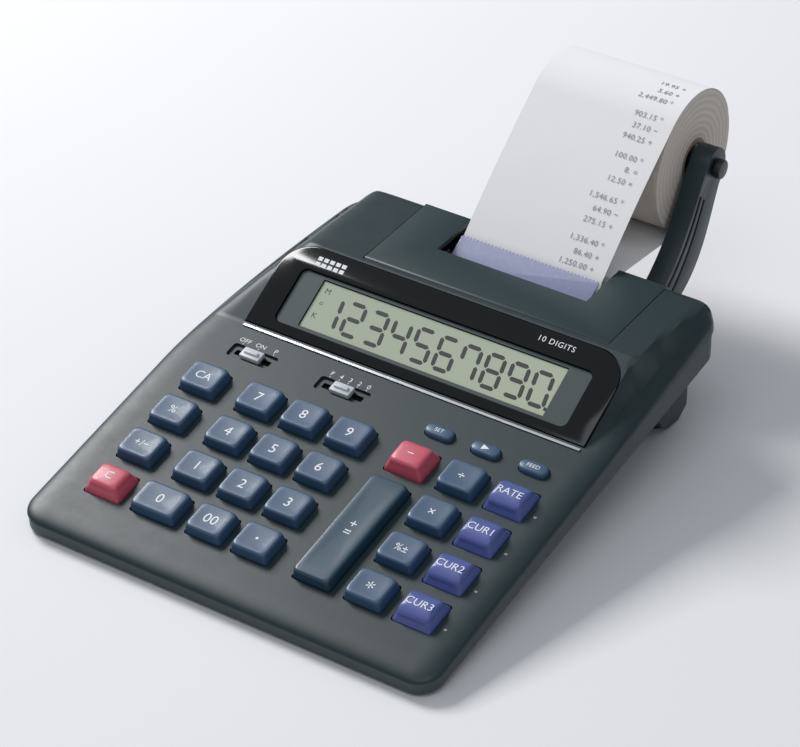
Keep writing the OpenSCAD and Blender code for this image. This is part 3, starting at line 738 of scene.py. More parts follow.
def flat_text(words: str, size: float, spacing: float = 1.0) -> List[List[Point2]]:
    """Outlines of printed characters as filled triangles, centred on the origin.

    Args:
        words: what is printed.
        size: height of a capital in millimetres.
        spacing: letter spacing.

    Returns:
        Triangles as lists of three points, in millimetres.
    """
    curve = bpy.data.curves.new("words", "FONT")
    curve.body = words
    curve.size = size * 1.43
    curve.space_character = spacing
    curve.space_line = 0.75
    curve.align_x = "CENTER"
    curve.resolution_u = 3
    holder = bpy.data.objects.new("words", curve)
    bpy.context.scene.collection.objects.link(holder)
    graph = bpy.context.evaluated_depsgraph_get()
    mesh = bpy.data.meshes.new_from_object(holder.evaluated_get(graph))
    mesh.calc_loop_triangles()
    points = [(v.co.x, v.co.y) for v in mesh.vertices]
    triangles = [[points[i] for i in t.vertices] for t in mesh.loop_triangles]
    bpy.data.objects.remove(holder)
    bpy.data.curves.remove(curve)
    bpy.data.meshes.remove(mesh)
    if not triangles:
        return []
    xs = [p[0] for t in triangles for p in t]
    ys = [p[1] for t in triangles for p in t]
    cx, cy = (min(xs) + max(xs)) / 2, (min(ys) + max(ys)) / 2
    return [[(p[0] - cx, p[1] - cy) for p in t] for t in triangles]


def split_long(triangles: List[List[Point2]], longest: float) -> List[List[Point2]]:
    """Halves triangles until no side is longer than a limit.

    Args:
        triangles: the triangles.
        longest: the limit in millimetres.

    Returns:
        The finer triangles.
    """
    done, todo = [], list(triangles)
    while todo:
        a, b, c = todo.pop()
        sides = [(math.dist(a, b), a, b, c), (math.dist(b, c), b, c, a), (math.dist(c, a), c, a, b)]
        length, p, q, r = max(sides, key=lambda s: s[0])
        if length <= longest:
            done.append([a, b, c])
        else:
            m = ((p[0] + q[0]) / 2, (p[1] + q[1]) / 2)
            todo += [[p, m, r], [m, q, r]]
    return done


def printed(name: str, triangles: List[List[Point2]], lay: Callable[[float, float], Point3],
            longest: float = 1.2) -> bpy.types.Object:
    """A printed mark laid on a surface.

    Args:
        name: the piece's name.
        triangles: the mark's flat shape.
        lay: maps a flat point to a point in millimetres on the surface.
        longest: longest side left after splitting.

    Returns:
        The piece.
    """
    fine = split_long(triangles, longest)
    verts = [lay(*p) for t in fine for p in t]
    faces = [[3 * i, 3 * i + 1, 3 * i + 2] for i in range(len(fine))]
    piece = new_piece(name, verts, faces)
    work = bmesh.new()
    work.from_mesh(piece.data)
    bmesh.ops.remove_doubles(work, verts=work.verts, dist=0.000001)
    for face in work.faces:
        if face.normal.z < 0:
            face.normal_flip()
    work.to_mesh(piece.data)
    work.free()
    return piece


# ---------------------------------------------------------------- sizes shared by the sub-assemblies
@dataclass
class Layout:
    """Sizes in millimetres that the sub-assemblies share, and the two sloping planes."""

    width: float = 165.0
    depth: float = 183.0
    front_h: float = 7.6
    rear_h: float = 51.0
    tilt: float = 11.8
    wall: float = 1.6
    corner: float = 9.0
    row: float = 18.1
    roll_back: float = 52.0
    roll_r: float = 26.2
    roll_z: float = 68.0
    panel_tilt: float = 31.0
    panel_len: float = 36.8
    part_w: float = -2.1
    paper_x: float = 11.5
    paper_w: float = 57.0
    window_x: float = 3.1
    taper_in: float = 15.4
    taper_l: float = 98.0

    def __post_init__(self) -> None:
        """Works out the landmarks."""
        t = math.radians(self.tilt)
        self.st, self.ct, self.tt = math.sin(t), math.cos(t), math.tan(t)
        self.shift = -(self.depth + self.roll_back + self.roll_r) / 2
        self.oval_u = 24.6 + 3 * self.row + 15.6
        self.switch_u = self.oval_u + 2.6
        self.panel_u = self.oval_u + 15.6
        self.panel_y = self.panel_u * self.ct
        self.panel_z = self.front_h + self.panel_u * self.st
        p = math.radians(self.panel_tilt)
        self.sp, self.cp = math.sin(p), math.cos(p)
        self.top_y = self.panel_y + self.panel_len * self.cp
        self.top_z = self.panel_z + self.panel_len * self.sp

    def draw_in(self, y: float) -> float:
        """How far the left side is drawn in at a depth."""
        return self.taper_in * max(0.0, 1 - (self.depth - y) / self.taper_l) ** 1.55

    def deck(self, x: float, u: float, w: float) -> Point3:
        """Point in the row frame from keypad coordinates: across, up the slope, out of it."""
        return (x, u * self.ct - w * self.st + self.shift, self.front_h + u * self.st + w * self.ct)

    def panel(self, x: float, u: float, w: float) -> Point3:
        """Point in the row frame from display-panel coordinates."""
        return (x + self.window_x, self.panel_y + u * self.cp - w * self.sp + self.shift,
                self.panel_z + u * self.sp + w * self.cp)

    def deck_span(self, node: str) -> Tuple[Point3, Point3]:
        """Lowest and highest keypad coordinates of a CAD node.

        Args:
            node: the node's name.

        Returns:
            The two corners (x, u, w).
        """
        low, high = [1e9] * 3, [-1e9] * 3
        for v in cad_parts[node].data.vertices:
            x, y, z = (c / MM for c in v.co)
            y -= self.shift
            z -= self.front_h
            here = (x, y * self.ct + z * self.st, -y * self.st + z * self.ct)
            low = [min(a, b) for a, b in zip(low, here)]
            high = [max(a, b) for a, b in zip(high, here)]
        return tuple(low), tuple(high)


# ---------------------------------------------------------------- keys
class Crown(Enum):
    """Shape of a key's top."""

    DISHED = "dished"
    DOMED = "domed"
    ARCHED = "arched"
    PILL = "pill"


@dataclass
class KeyCap:
    """One key cap with its legend."""

    node: str
    finish: MouldedPlastic
    legend: str
    crown: Crown = Crown.DISHED
    legend_h: float = 3.9
    draft: float = 0.4
    edge: float = 0.9
    flange: float = 1.0
    layout: Layout = field(default_factory=Layout)

    def build(self, dresser: Dresser) -> None:
        """Builds the cap and its legend.

        Args:
            dresser: puts the finishes on.
        """
        low, high = self.layout.deck_span(self.node)
        self.cx, self.cu = (low[0] + high[0]) / 2, (low[1] + high[1]) / 2
        self.top = high[2]
        if self.crown is Crown.PILL:
            self.half_w, self.half_l = 5.5, 2.6
        else:
            self.half_w = (high[0] - low[0]) / 2 - self.flange
            self.half_l = (high[1] - low[1]) / 2 - self.flange
        verts: List[Point3] = []
        rings = self._pill() if self.crown is Crown.PILL else self._block()
        for outline, heights in rings:
            verts += [self.layout.deck(self.cx + x, self.cu + u, w) for (x, u), w in zip(outline, heights)]
        count = len(rings[0][0])
        cap = new_piece(self.node + "_cap", verts, ring_faces(count, len(rings)), 50.0)
        dresser.dress(cap, self.finish, self.node + "_body", self.node)
        if self.legend:
            self._print(dresser)

    def _surface(self, x: float, u: float) -> float:
        """Height of the top at a point of the key."""
        a, b = x / self.half_w, u / self.half_l
        if self.crown is Crown.ARCHED:
            r = 9.5
            return self.top - (r - math.sqrt(max(r * r - u * u, 0.1)))
        if self.crown is Crown.DOMED:
            return self.top - 0.35 * (a * a + b * b)
        if self.crown is Crown.PILL:
            return self.top - 0.25 * (a * a + b * b)
        return self.top - 0.18 + 0.22 * min(1.0, a * a + b * b)

    def _block(self) -> List[Tuple[List[Point2], List[float]]]:
        """Rings of a block-shaped cap from the flange to the middle of its top."""
        rings = []
        e = self.edge
        lip = self.half_w + self.flange * 0.96, self.half_l + self.flange * 0.96

        def level(hw: float, hl: float, r: float, w: float) -> None:
            """Adds a flat ring."""
            outline = round_box(hw, hl, r)
            rings.append((outline, [w] * len(outline)))

        level(lip[0], lip[1], 0.5, -2.7)
        level(lip[0], lip[1], 0.5, -1.92)
        level(self.half_w - 0.02, self.half_l - 0.02, 1.1, -1.9)
        level(self.half_w - 0.02, self.half_l - 0.02, 1.1, -0.1)
        for k in range(1, 5):
            s = k / 4
            lean = self.draft * (s ** 1.25)
            edge_h = [self._surface(x, u) - e for x, u in round_box(self.half_w - lean, self.half_l - lean,
                                                            1.3)]
            outline = round_box(self.half_w - lean, self.half_l - lean, 1.1 + 0.5 * s)
            rings.append((outline, [-0.1 + (h + 0.1) * s for h in edge_h]))
        inner_w, inner_l = self.half_w - self.draft, self.half_l - self.draft
        for k in range(1, 6):
            a = math.radians(18 * k)
            inset = e * (1 - math.cos(a))
            outline = round_box(inner_w - inset, inner_l - inset, 1.6 + 0.4 * k / 5)
            rings.append((outline, [self._surface(x, u) - e * (1 - math.sin(a)) for x, u in outline]))
        for share in (0.8, 0.6, 0.4, 0.2, 0.03):
            outline = round_box((inner_w - e) * share, (inner_l - e) * share, 2.0 * share)
            rings.append((outline, [self._surface(x, u) for x, u in outline]))
        return rings

    def _pill(self) -> List[Tuple[List[Point2], List[float]]]:
        """Rings of a small oval cap."""
        rings = []
        for grow, w in ((0.7, -2.7), (0.7, -1.92), (-0.02, -1.9), (-0.05, self.top - 0.9)):
            outline = round_box(self.half_w + grow, self.half_l + grow, self.half_l + grow, 8)
            rings.append((outline, [w] * len(outline)))
        for k in range(1, 6):
            a = math.radians(18 * k)
            inset = 0.05 + 0.8 * (1 - math.cos(a))
            outline = round_box(self.half_w - inset, self.half_l - inset, self.half_l - inset, 8)
            rings.append((outline, [self._surface(x, u) - 0.8 * (1 - math.sin(a)) for x, u in outline]))
        for share in (0.6, 0.25, 0.02):
            outline = round_box((self.half_w - 0.9) * share, (self.half_l - 0.9) * share,
                                self.half_l * share, 8)
            rings.append((outline, [self._surface(x, u) for x, u in outline]))
        return rings

    def _print(self, dresser: Dresser) -> None:
        """Prints the legend on the top."""
        if self.legend == "play":
            flat = [[(-1.3, -1.2), (1.5, 0.0), (-1.3, 1.2)]]
        else:
            flat = flat_text(self.legend, self.legend_h)

        def lay(x: float, u: float) -> Point3:
            """Point of the legend on the cap."""
            return self.layout.deck(self.cx + x, self.cu + u, self._surface(x, u) + 0.035)

        mark = printed(self.node + "_legend", flat, lay, 0.9)
        dresser.dress(mark, WHITE_INK, self.node + "_body")


@dataclass
class Keypad:
    """All the keys."""

    layout: Layout

    def caps(self) -> Iterable[KeyCap]:
        """The caps in order of the rows."""
        digits = [("key_" + d, d) for d in "1234567890"] + [("key_00", "00")]
        for node, legend in digits:
            yield KeyCap(node, SLATE, legend, layout=self.layout)
        yield KeyCap("key_point", SLATE, "•", legend_h=3.0, layout=self.layout)
        for node, legend, size in (("key_clear_all", "CA", 3.3), ("key_percent", "%", 3.2), ("key_sign",
                                                            "+/−", 2.9),
                                   ("key_divide", "÷", 3.6), ("key_multiply", "×", 3.6),
                                   ("key_markup", "%±", 2.9), ("key_total", "*", 5.0)):
            yield KeyCap(node, SLATE, legend, legend_h=size, layout=self.layout)
        yield KeyCap("key_clear", RED, "C", Crown.DOMED, 3.2, 1.4, 1.3, layout=self.layout)
        yield KeyCap("key_minus", RED, "−", Crown.DOMED, 3.4, 1.4, 1.3, layout=self.layout)
        yield KeyCap("key_plus_equals", DEEP, "+\n=", Crown.DISHED, 3.6, layout=self.layout)
        for node, legend in (("key_rate_set", "RATE"), ("key_rate_1", "CUR1"), ("key_rate_2", "CUR2"),
                             ("key_rate_3", "CUR3")):
            yield KeyCap(node, VIOLET, legend, Crown.ARCHED, 2.9, 1.3, 1.0, layout=self.layout)
        for node, legend in (("key_set", "SET"), ("key_shift", "play"), ("key_feed", "FEED")):
            yield KeyCap(node, SLATE, legend, Crown.PILL, 1.6, layout=self.layout)

    def build(self, dresser: Dresser) -> None:
        """Builds every cap."""
        for cap in self.caps():
            cap.build(dresser)


# ---------------------------------------------------------------- case
def ease(a: float, b: float, v: float) -> float:
    """Smooth step from 0 at a to 1 at b."""
    t = max(0.0, min(1.0, (v - a) / (b - a)))
    return t * t * (3 - 2 * t)


@dataclass
class UpperCase:
    """The crowned upper shell with its openings."""

    layout: Layout
    side_roll: float = 9.0
    front_roll: float = 9.0
    rear_roll: float = 4.5

    def _line(self, y: float) -> float:
        """Height of the plain deck at a depth."""
        L = self.layout
        if y < L.panel_y:
            return L.front_h + y * L.tt
        slope = (L.rear_h - L.panel_z) / (L.depth - L.panel_y)
        return L.panel_z + (y - L.panel_y) * slope

    def _raised(self, y: float) -> float:
        """Height of the raised rear at a depth."""
        L = self.layout
        if y < L.top_y:
            return L.panel_z + (y - L.panel_y) * L.sp / L.cp
        return L.top_z + (y - L.top_y) * (L.rear_h - L.top_z) / (L.depth - L.top_y)

    def _part(self, y: float) -> float:
        """Height of the parting line at a depth."""
        L = self.layout
        return L.front_h + y * L.tt + L.part_w / L.ct

    def height(self, x: float, y: float) -> float:
        """Height of the outer surface.

        Args:
            x: across.
            y: back from the front edge.

        Returns:
            The height in millimetres.
        """
        L = self.layout
        z = self._line(y)
        lift = self._raised(y) - z
        if lift > 0:
            foot = 69.6 + max(0.0, y - L.panel_y) * 0.11
            z += lift * (1.0 - ease(foot, foot + 3.8, x))
        drawn = L.draw_in(y) if x < 0 else 0.0
        if x < 0:
            gap = z - (x + L.width / 2 + 27.5)
            z -= (gap + math.hypot(gap, 1.6)) / 2
        hx, hy = L.width / 2, L.depth / 2
        c = L.corner
        qx, qy = abs(x) + drawn - hx + c, abs(y - hy) - hy + c
        if qx > 0 and qy > 0:
            d = c - math.hypot(qx, qy)
        else:
            d = c - max(qx, qy)
        d = max(d, 0.0)
        low = self._part(y)
        if d < 20:
            front = 1 - ease(0, 30, y)
            rear = ease(L.depth - 30, L.depth, y) * (1 if qy > qx else 0.3)
            reach = self.side_roll + (self.front_roll - self.side_roll) * front
            reach += (self.rear_roll - self.side_roll) * rear
            if d < reach:
                z = low + (z - low) * (1 - (1 - d / reach) ** 2.3) ** (1 / 2.3)
        return z

    def _columns(self) -> List[float]:
        """Grid lines across."""
        half = self.layout.width / 2
        edge = [0, 0.25, 0.6, 1.1, 1.8, 2.7, 3.8, 5.2, 7, 9, 10.2, 11.4, 12.6, 14]
        out = [-half + e for e in edge]
        x = -half + 16.0
        while x < half - 15:
            out.append(x)
            x += 3.05
        return out + [half - e for e in reversed(edge)]

    def _rows(self) -> List[float]:
        """Grid lines back from the front edge."""
        L = self.layout
        rows = [0, 0.25, 0.6, 1.1, 1.8, 2.7, 3.8, 5.2, 7, 9]
        y = 12.0
        while y < L.panel_y - 5:
            rows.append(y)
            y += 4.0
        rows += [L.panel_y - 2.5, L.panel_y - 1.0, L.panel_y, L.panel_y + 1.0, L.panel_y + 3]
        y = L.panel_y + 6
        while y < L.top_y - 3:
            rows.append(y)
            y += 3.0
        rows += [L.top_y - 2, L.top_y - 0.8, L.top_y, L.top_y + 0.8, L.top_y + 2.4]
        y = L.top_y + 5
        while y < L.depth - 11:
            rows.append(y)
            y += 3.0
        return rows + [L.depth - e for e in (9, 7, 5.2, 3.8, 2.7, 1.8, 1.1, 0.6, 0.25, 0)]

    def _plan(self, x: float, y: float) -> Point2:
        """Moves a grid point so that the grid's corners are round."""
        L = self.layout
        c = L.corner
        hx, hy = L.width / 2, L.depth / 2
        sx, sy = math.copysign(1, x), math.copysign(1, y - hy)
        a, b = (abs(x) - hx + c) / c, (abs(y - hy) - hy + c) / c
        if a > 0 and b > 0:
            u, v = a * math.sqrt(1 - b * b / 2), b * math.sqrt(1 - a * a / 2)
            x, y = sx * (hx - c + u * c), hy + sy * (hy - c + v * c)
        return x + L.draw_in(y) * max(0.0, 1 - (x + hx) / 48.0), y

    def _skin(self) -> bpy.types.Object:
        """The plain shell before its openings are cut."""
        cols, rows = self._columns(), self._rows()
        top, low = [], []
        for y in rows:
            for x in cols:
                px, py = self._plan(x, y)
                z = self.height(px, py)
                top.append((px, py + self.layout.shift, z))
                hx, hy = self.layout.width / 2, self.layout.depth / 2
                sx = (hx - self.layout.wall) / hx
                sy = (hy - self.layout.wall) / hy
                inner_y = hy + (py - hy) * sy
                floor = self._part(inner_y)
                inner = self.height(px * sx, inner_y) - self.layout.wall / self.layout.ct
                low.append((px * sx, inner_y + self.layout.shift, max(inner, floor)))
        n, m = len(cols), len(rows)
        faces = [[r * n + c, r * n + c + 1, (r + 1) * n + c + 1, (r + 1) * n + c] for r in range(m - 1)
                 for c in range(n - 1)]
        k = n * m
        faces += [[k + i for i in reversed(f)] for f in faces]
        rim = [r * n for r in range(m)] + [(m - 1) * n + c for c in range(1, n)]
        rim += [r * n + n - 1 for r in range(m - 2, -1, -1)] + [c for c in range(n - 2, 0, -1)]
        for a, b in zip(rim, rim[1:] + rim[:1]):
            faces.append([a, b, k + b, k + a])
        return new_piece("upper_shell", top + low, faces, 26.0)

    def _prism(self, outline: Sequence[Point2], low: float, high: float, place: Callable[[float, float,
                                                            float], Point3],
               at: Point2 = (0.0, 0.0)) -> Tuple[List[Point3], List[List[int]]]:
        """A prism for cutting.

        Args:
            outline: its outline.
            low: its lower end.
            high: its upper end.
            place: maps its coordinates to the row frame.
            at: where the outline's origin goes.

        Returns:
            Points and faces.
        """
        verts = [place(at[0] + x, at[1] + y, w) for w in (low, high) for x, y in outline]
        return verts, ring_faces(len(outline), 2)

    def _tool(self, name: str, prisms: List[Tuple[List[Point3], List[List[int]]]]) -> bpy.types.Object:
        """Joins prisms into one cutting tool."""
        verts: List[Point3] = []
        faces: List[List[int]] = []
        for v, f in prisms:
            faces += [[i + len(verts) for i in face] for face in f]
            verts += v
        return new_piece(name, verts, faces)

    def build(self, dresser: Dresser) -> None:
        """Builds the shell and cuts its openings.

        Args:
            dresser: puts the finish on.
        """
        L = self.layout
        shell = self._skin()
        seats, holes = [], []
        for cap in Keypad(L).caps():
            low, high = L.deck_span(cap.node)
            at = ((low[0] + high[0]) / 2, (low[1] + high[1]) / 2)
            if cap.crown is Crown.PILL:
                outline = round_box(5.85, 2.95, 2.95, 8)
            else:
                outline = round_box((high[0] - low[0]) / 2 - 0.65, (high[1] - low[1]) / 2 - 0.65, 1.2, 3)
            holes.append(self._prism(outline, -9, 4, L.deck, at))
        for node, slot_l in (("power_switch", 18.8), ("decimal_switch", 20.6)):
            low, high = L.deck_span(node)
            at = ((low[0] + high[0]) / 2, (low[1] + high[1]) / 2)
            seats.append(self._prism(round_box(slot_l / 2, 3.2, 1.2, 4), -0.95, 4, L.deck, at))
            holes.append(self._prism(round_box(slot_l / 2 - 2, 1.2, 0.5, 2), -9, 4, L.deck, at))
        window = WindowPanel(L)
        seats.append(self._prism(window.outline(-0.3), -1.2, 9, L.panel))
        holes.append(self._prism([(x, y + 15.7) for x, y in round_box(50.05, 9.72, 0.3, 2)], -8, 9, L.panel))
        x0, x1 = L.paper_x - 49.8, L.paper_x + 49.8
        y0 = L.top_y + 1.4 + L.shift
        opening = [(x0, y0), (x1, y0), (x1, L.depth + 2 + L.shift), (x0, L.depth + 2 + L.shift)]
        holes.append(self._prism(opening, L.rear_h - 7.2, L.rear_h + 30, lambda x, y, z: (x, y, z)))
        carve(shell, self._tool("seat_tool", seats))
        carve(shell, self._tool("hole_tool", holes))
        soften(shell, 26.0)
        dresser.dress(shell, TEAL, "case", "upper_case")


@dataclass
class WindowPanel:
    """Glossy window, its inner frame, the display glass and what they show."""

    layout: Layout
    width: float = 138.0
    length: float = 35.0
    corner: float = 12.0

    def outline(self, inset: float) -> List[Point2]:
        """Outline of the window in panel coordinates, crisp below and round above.

        Args:
            inset: how far inside the real edge.

        Returns:
            The points.
        """
        w, u0, u1 = self.width / 2 - inset, 0.8 + inset, 0.8 + self.length - inset
        r = self.corner
        points = [(-w, u0), (w, u0)]
        for k in (0, 1):
            for i in range(13):
                a = math.radians(90 * k + 7.5 * i)
                sx = 1 if k == 0 else -1
                points.append((sx * (w - r) + r * math.cos(a), u1 - r + r * math.sin(a)))
        return points

    def _plate(self) -> bpy.types.Object:
        """The black window with its rounded opening."""
        rings = []
        for inset, w in ((0.15, -1.2), (0.0, -1.0), (0.0, 0.1), (0.12, 0.31), (0.4, 0.4)):
            rings.append([self.layout.panel(x, u, w) for x, u in self.outline(inset)])
        verts = [p for ring in rings for p in ring]
        plate = new_piece("window_plate", verts, ring_faces(len(rings[0]), len(rings)), 30.0)
        hole = [(x, u + 15.7) for x, u in round_box(59.5, 11.2, 2.5, 6)]
        tool_v = [self.layout.panel(x, u, w) for w in (-3.0, 3.0) for x, u in hole]
        carve(plate, new_piece("window_tool", tool_v, ring_faces(len(hole), 2)))
        soften(plate, 30.0)
        return plate

    def _digit(self, figure: str, x: float) -> List[List[Point2]]:
        """Seven-segment figure as quads split in triangles.

        Args:
            figure: a digit or a point.
            x: left end of the figure.

        Returns:
            Triangles in panel coordinates.
        """
        w, h, t, slant = 6.3, 12.0, 1.6, -0.15
        base = 8.9
        segs = {"a": (0, h, w, h), "g": (0, h / 2, w, h / 2), "d": (0, 0, w, 0), "f": (0, h / 2, 0, h),
                "e": (0, 0, 0, h / 2), "b": (w, h / 2, w, h), "c": (w, 0, w, h / 2)}
        lit = {"0": "abcdef", "1": "bc", "2": "abged", "3": "abgcd", "4": "fgbc", "5": "afgcd", "6": "afgedc",
               "7": "abcf", "8": "abcdefg", "9": "abcfgd"}
        shapes: List[List[Point2]] = []
        if figure == ".":
            shapes.append([(0, -0.7), (1.1, -0.7), (1.1, 0.6), (0, 0.6)])
        for key in lit.get(figure, ""):
            x0, y0, x1, y1 = segs[key]
            g = 0.35
            k = t / 2
            if x0 == x1:
                shapes.append([(x0, y0 + g), (x0 + k, y0 + g + k), (x0 + k, y1 - g - k), (x0, y1 - g),
                               (x0 - k, y1 - g - k), (x0 - k, y0 + g + k)])
            else:
                shapes.append([(x0 + g, y0), (x0 + g + k, y0 - k), (x1 - g - k, y0 - k), (x1 - g, y0),
                               (x1 - g - k, y0 + k), (x0 + g + k, y0 + k)])
        triangles = []
        for shape in shapes:
            moved = [(x + px + slant * py, base + py) for px, py in shape]
            triangles += [[moved[0], moved[i], moved[i + 1]] for i in range(1, len(moved) - 1)]
        return triangles

    def build(self, dresser: Dresser) -> None:
        """Builds the window group.

        Args:
            dresser: puts the finishes on.
        """
        L = self.layout
        dresser.dress(self._plate(), BLACK, "case", "display_window")
        dresser.redress("display_bezel", INNER)
        dresser.redress("lcd_panel", GLASS)
        dresser.redress("trim_strip", SILVER)
        figures: List[List[Point2]] = []
        for i, figure in enumerate("1234567890"):
            figures += self._digit(figure, -43.65 + i * 9.5)
        figures += self._digit(".", 48.6)

        def lay(x: float, u: float) -> Point3:
            """Point on the display glass."""
            return L.panel(x, u, -0.93)

        dresser.dress(printed("lcd_figures", figures, lay, 9.0), SEGMENT, "case")
        small: List[List[Point2]] = []
        for k, words in enumerate(("M", "=", "K")):
            small += [[(x - 46.5, u + 21.8 - k * 5.0) for x, u in t] for t in flat_text(words, 2.2)]
        dresser.dress(printed("lcd_signs", small, lay, 5.0), SEGMENT, "case")
        icon: List[List[Point2]] = []
        for r in range(2):
            for c in range(5):
                x, u = -56.0 + c * 2.5, 31.2 - r * 2.2
                icon += [[(x, u), (x + 1.8, u), (x + 1.8, u + 1.5)], [(x, u), (x + 1.8, u + 1.5), (x,
                                                            u + 1.5)]]
        icon += [[(x + 42.0, u + 32.0) for x, u in t] for t in flat_text("10 DIGITS", 2.1, 1.15)]

        def face(x: float, u: float) -> Point3:
            """Point on the window's front."""
            return L.panel(x, u, 0.43)

        dresser.dress(printed("window_marks", icon, face, 4.0), WHITE_INK, "case")


@dataclass
class DeckPrint:
    """Light printing on the deck by the switches and the rate keys."""

    layout: Layout

    def build(self, dresser: Dresser) -> None:
        """Prints the marks.

        Args:
            dresser: puts the finish on.
        """
        L = self.layout
        flat: List[List[Point2]] = []
        for node, words in (("power_switch", ("OFF", "ON", "P")), ("decimal_switch", ("F", "4", "3", "2",
                                                            "0"))):
            low, high = L.deck_span(node)
            cx = (low[0] + high[0]) / 2
            span = 13.0 if len(words) == 3 else 15.0
            for k, word in enumerate(words):
                x = cx - span / 2 + span * k / (len(words) - 1)
                flat += [[(px + x, pu + L.switch_u + 5.4) for px, pu in t] for t in flat_text(word, 1.9)]
                flat.append([(x - 0.25, L.switch_u + 3.5), (x + 0.25, L.switch_u + 3.5), (x,
                                                            L.switch_u + 4.1)])
        for node in ("key_rate_set", "key_rate_1", "key_rate_2", "key_rate_3"):
            low, high = L.deck_span(node)
            x, u = high[0] + 0.6, (low[1] + high[1]) / 2 - 2.5
            flat += [[(x + px + 1.6, u + pu) for px, pu in t] for t in flat_text("=", 1.5)]
        body = UpperCase(L)

        def lay(x: float, u: float) -> Point3:
            """Point of the print on the shell."""
            y = u * L.ct
            return (x, y + L.shift, body.height(x, y) + 0.05)

        dresser.dress(printed("deck_print", flat, lay, 2.0), WHITE_INK, "case")


@dataclass
class CaseFurniture:
    """Lower case, printer cover, knobs, tear bar and other moulded pieces."""

    layout: Layout

    def build(self, dresser: Dresser) -> None:
        """Builds the pieces.

        Args:
            dresser: puts the finishes on.
        """
        dresser.dress(bevelled("lower_case", "lower_shell", 1.4, 3, 25.0), GREY, "case", "lower_case")
        dresser.dress(bevelled("printer_cover", "printer_lid", 0.5, 3), COVER, "printer_cover_body",
                      "printer_cover")
        dresser.dress(bevelled("power_switch", "power_knob", 0.35, 3), KNOB, "power_switch_body",
                      "power_switch")
        dresser.dress(bevelled("decimal_switch", "decimal_knob", 0.35, 3), KNOB, "decimal_switch_body",
                      "decimal_switch")
        dresser.dress(bevelled("tear_bar", "tear_plate", 0.12, 2), CLEAR, "case", "tear_bar")
        for node, finish in (("main_board", BOARD), ("key_mat", MAT), ("dc_jack", DARK), ("rubber_feet",
                                                            RUBBER),
                             ("case_screws", STEEL), ("batteries", CELL), ("battery_cover", GREY)):
            dresser.redress(node, finish)


# ---------------------------------------------------------------- printer and paper
@dataclass
class PrinterWorks:
    """The printer inside the case."""

    def build(self, dresser: Dresser) -> None:
        """Dresses the works.

        Args:
            dresser: puts the finishes on.
        """
        for node, finish in (("printer_frame", DARK), ("printer_motor", STEEL), ("motor_pinion", BRASS),
                             ("drum_gear", NYLON), ("platen_gear", NYLON), ("type_drum", TYPE),
                             ("platen_roller", RUBBER), ("ink_roller", FELT), ("holder_pin", STEEL)):
            dresser.redress(node, finish)


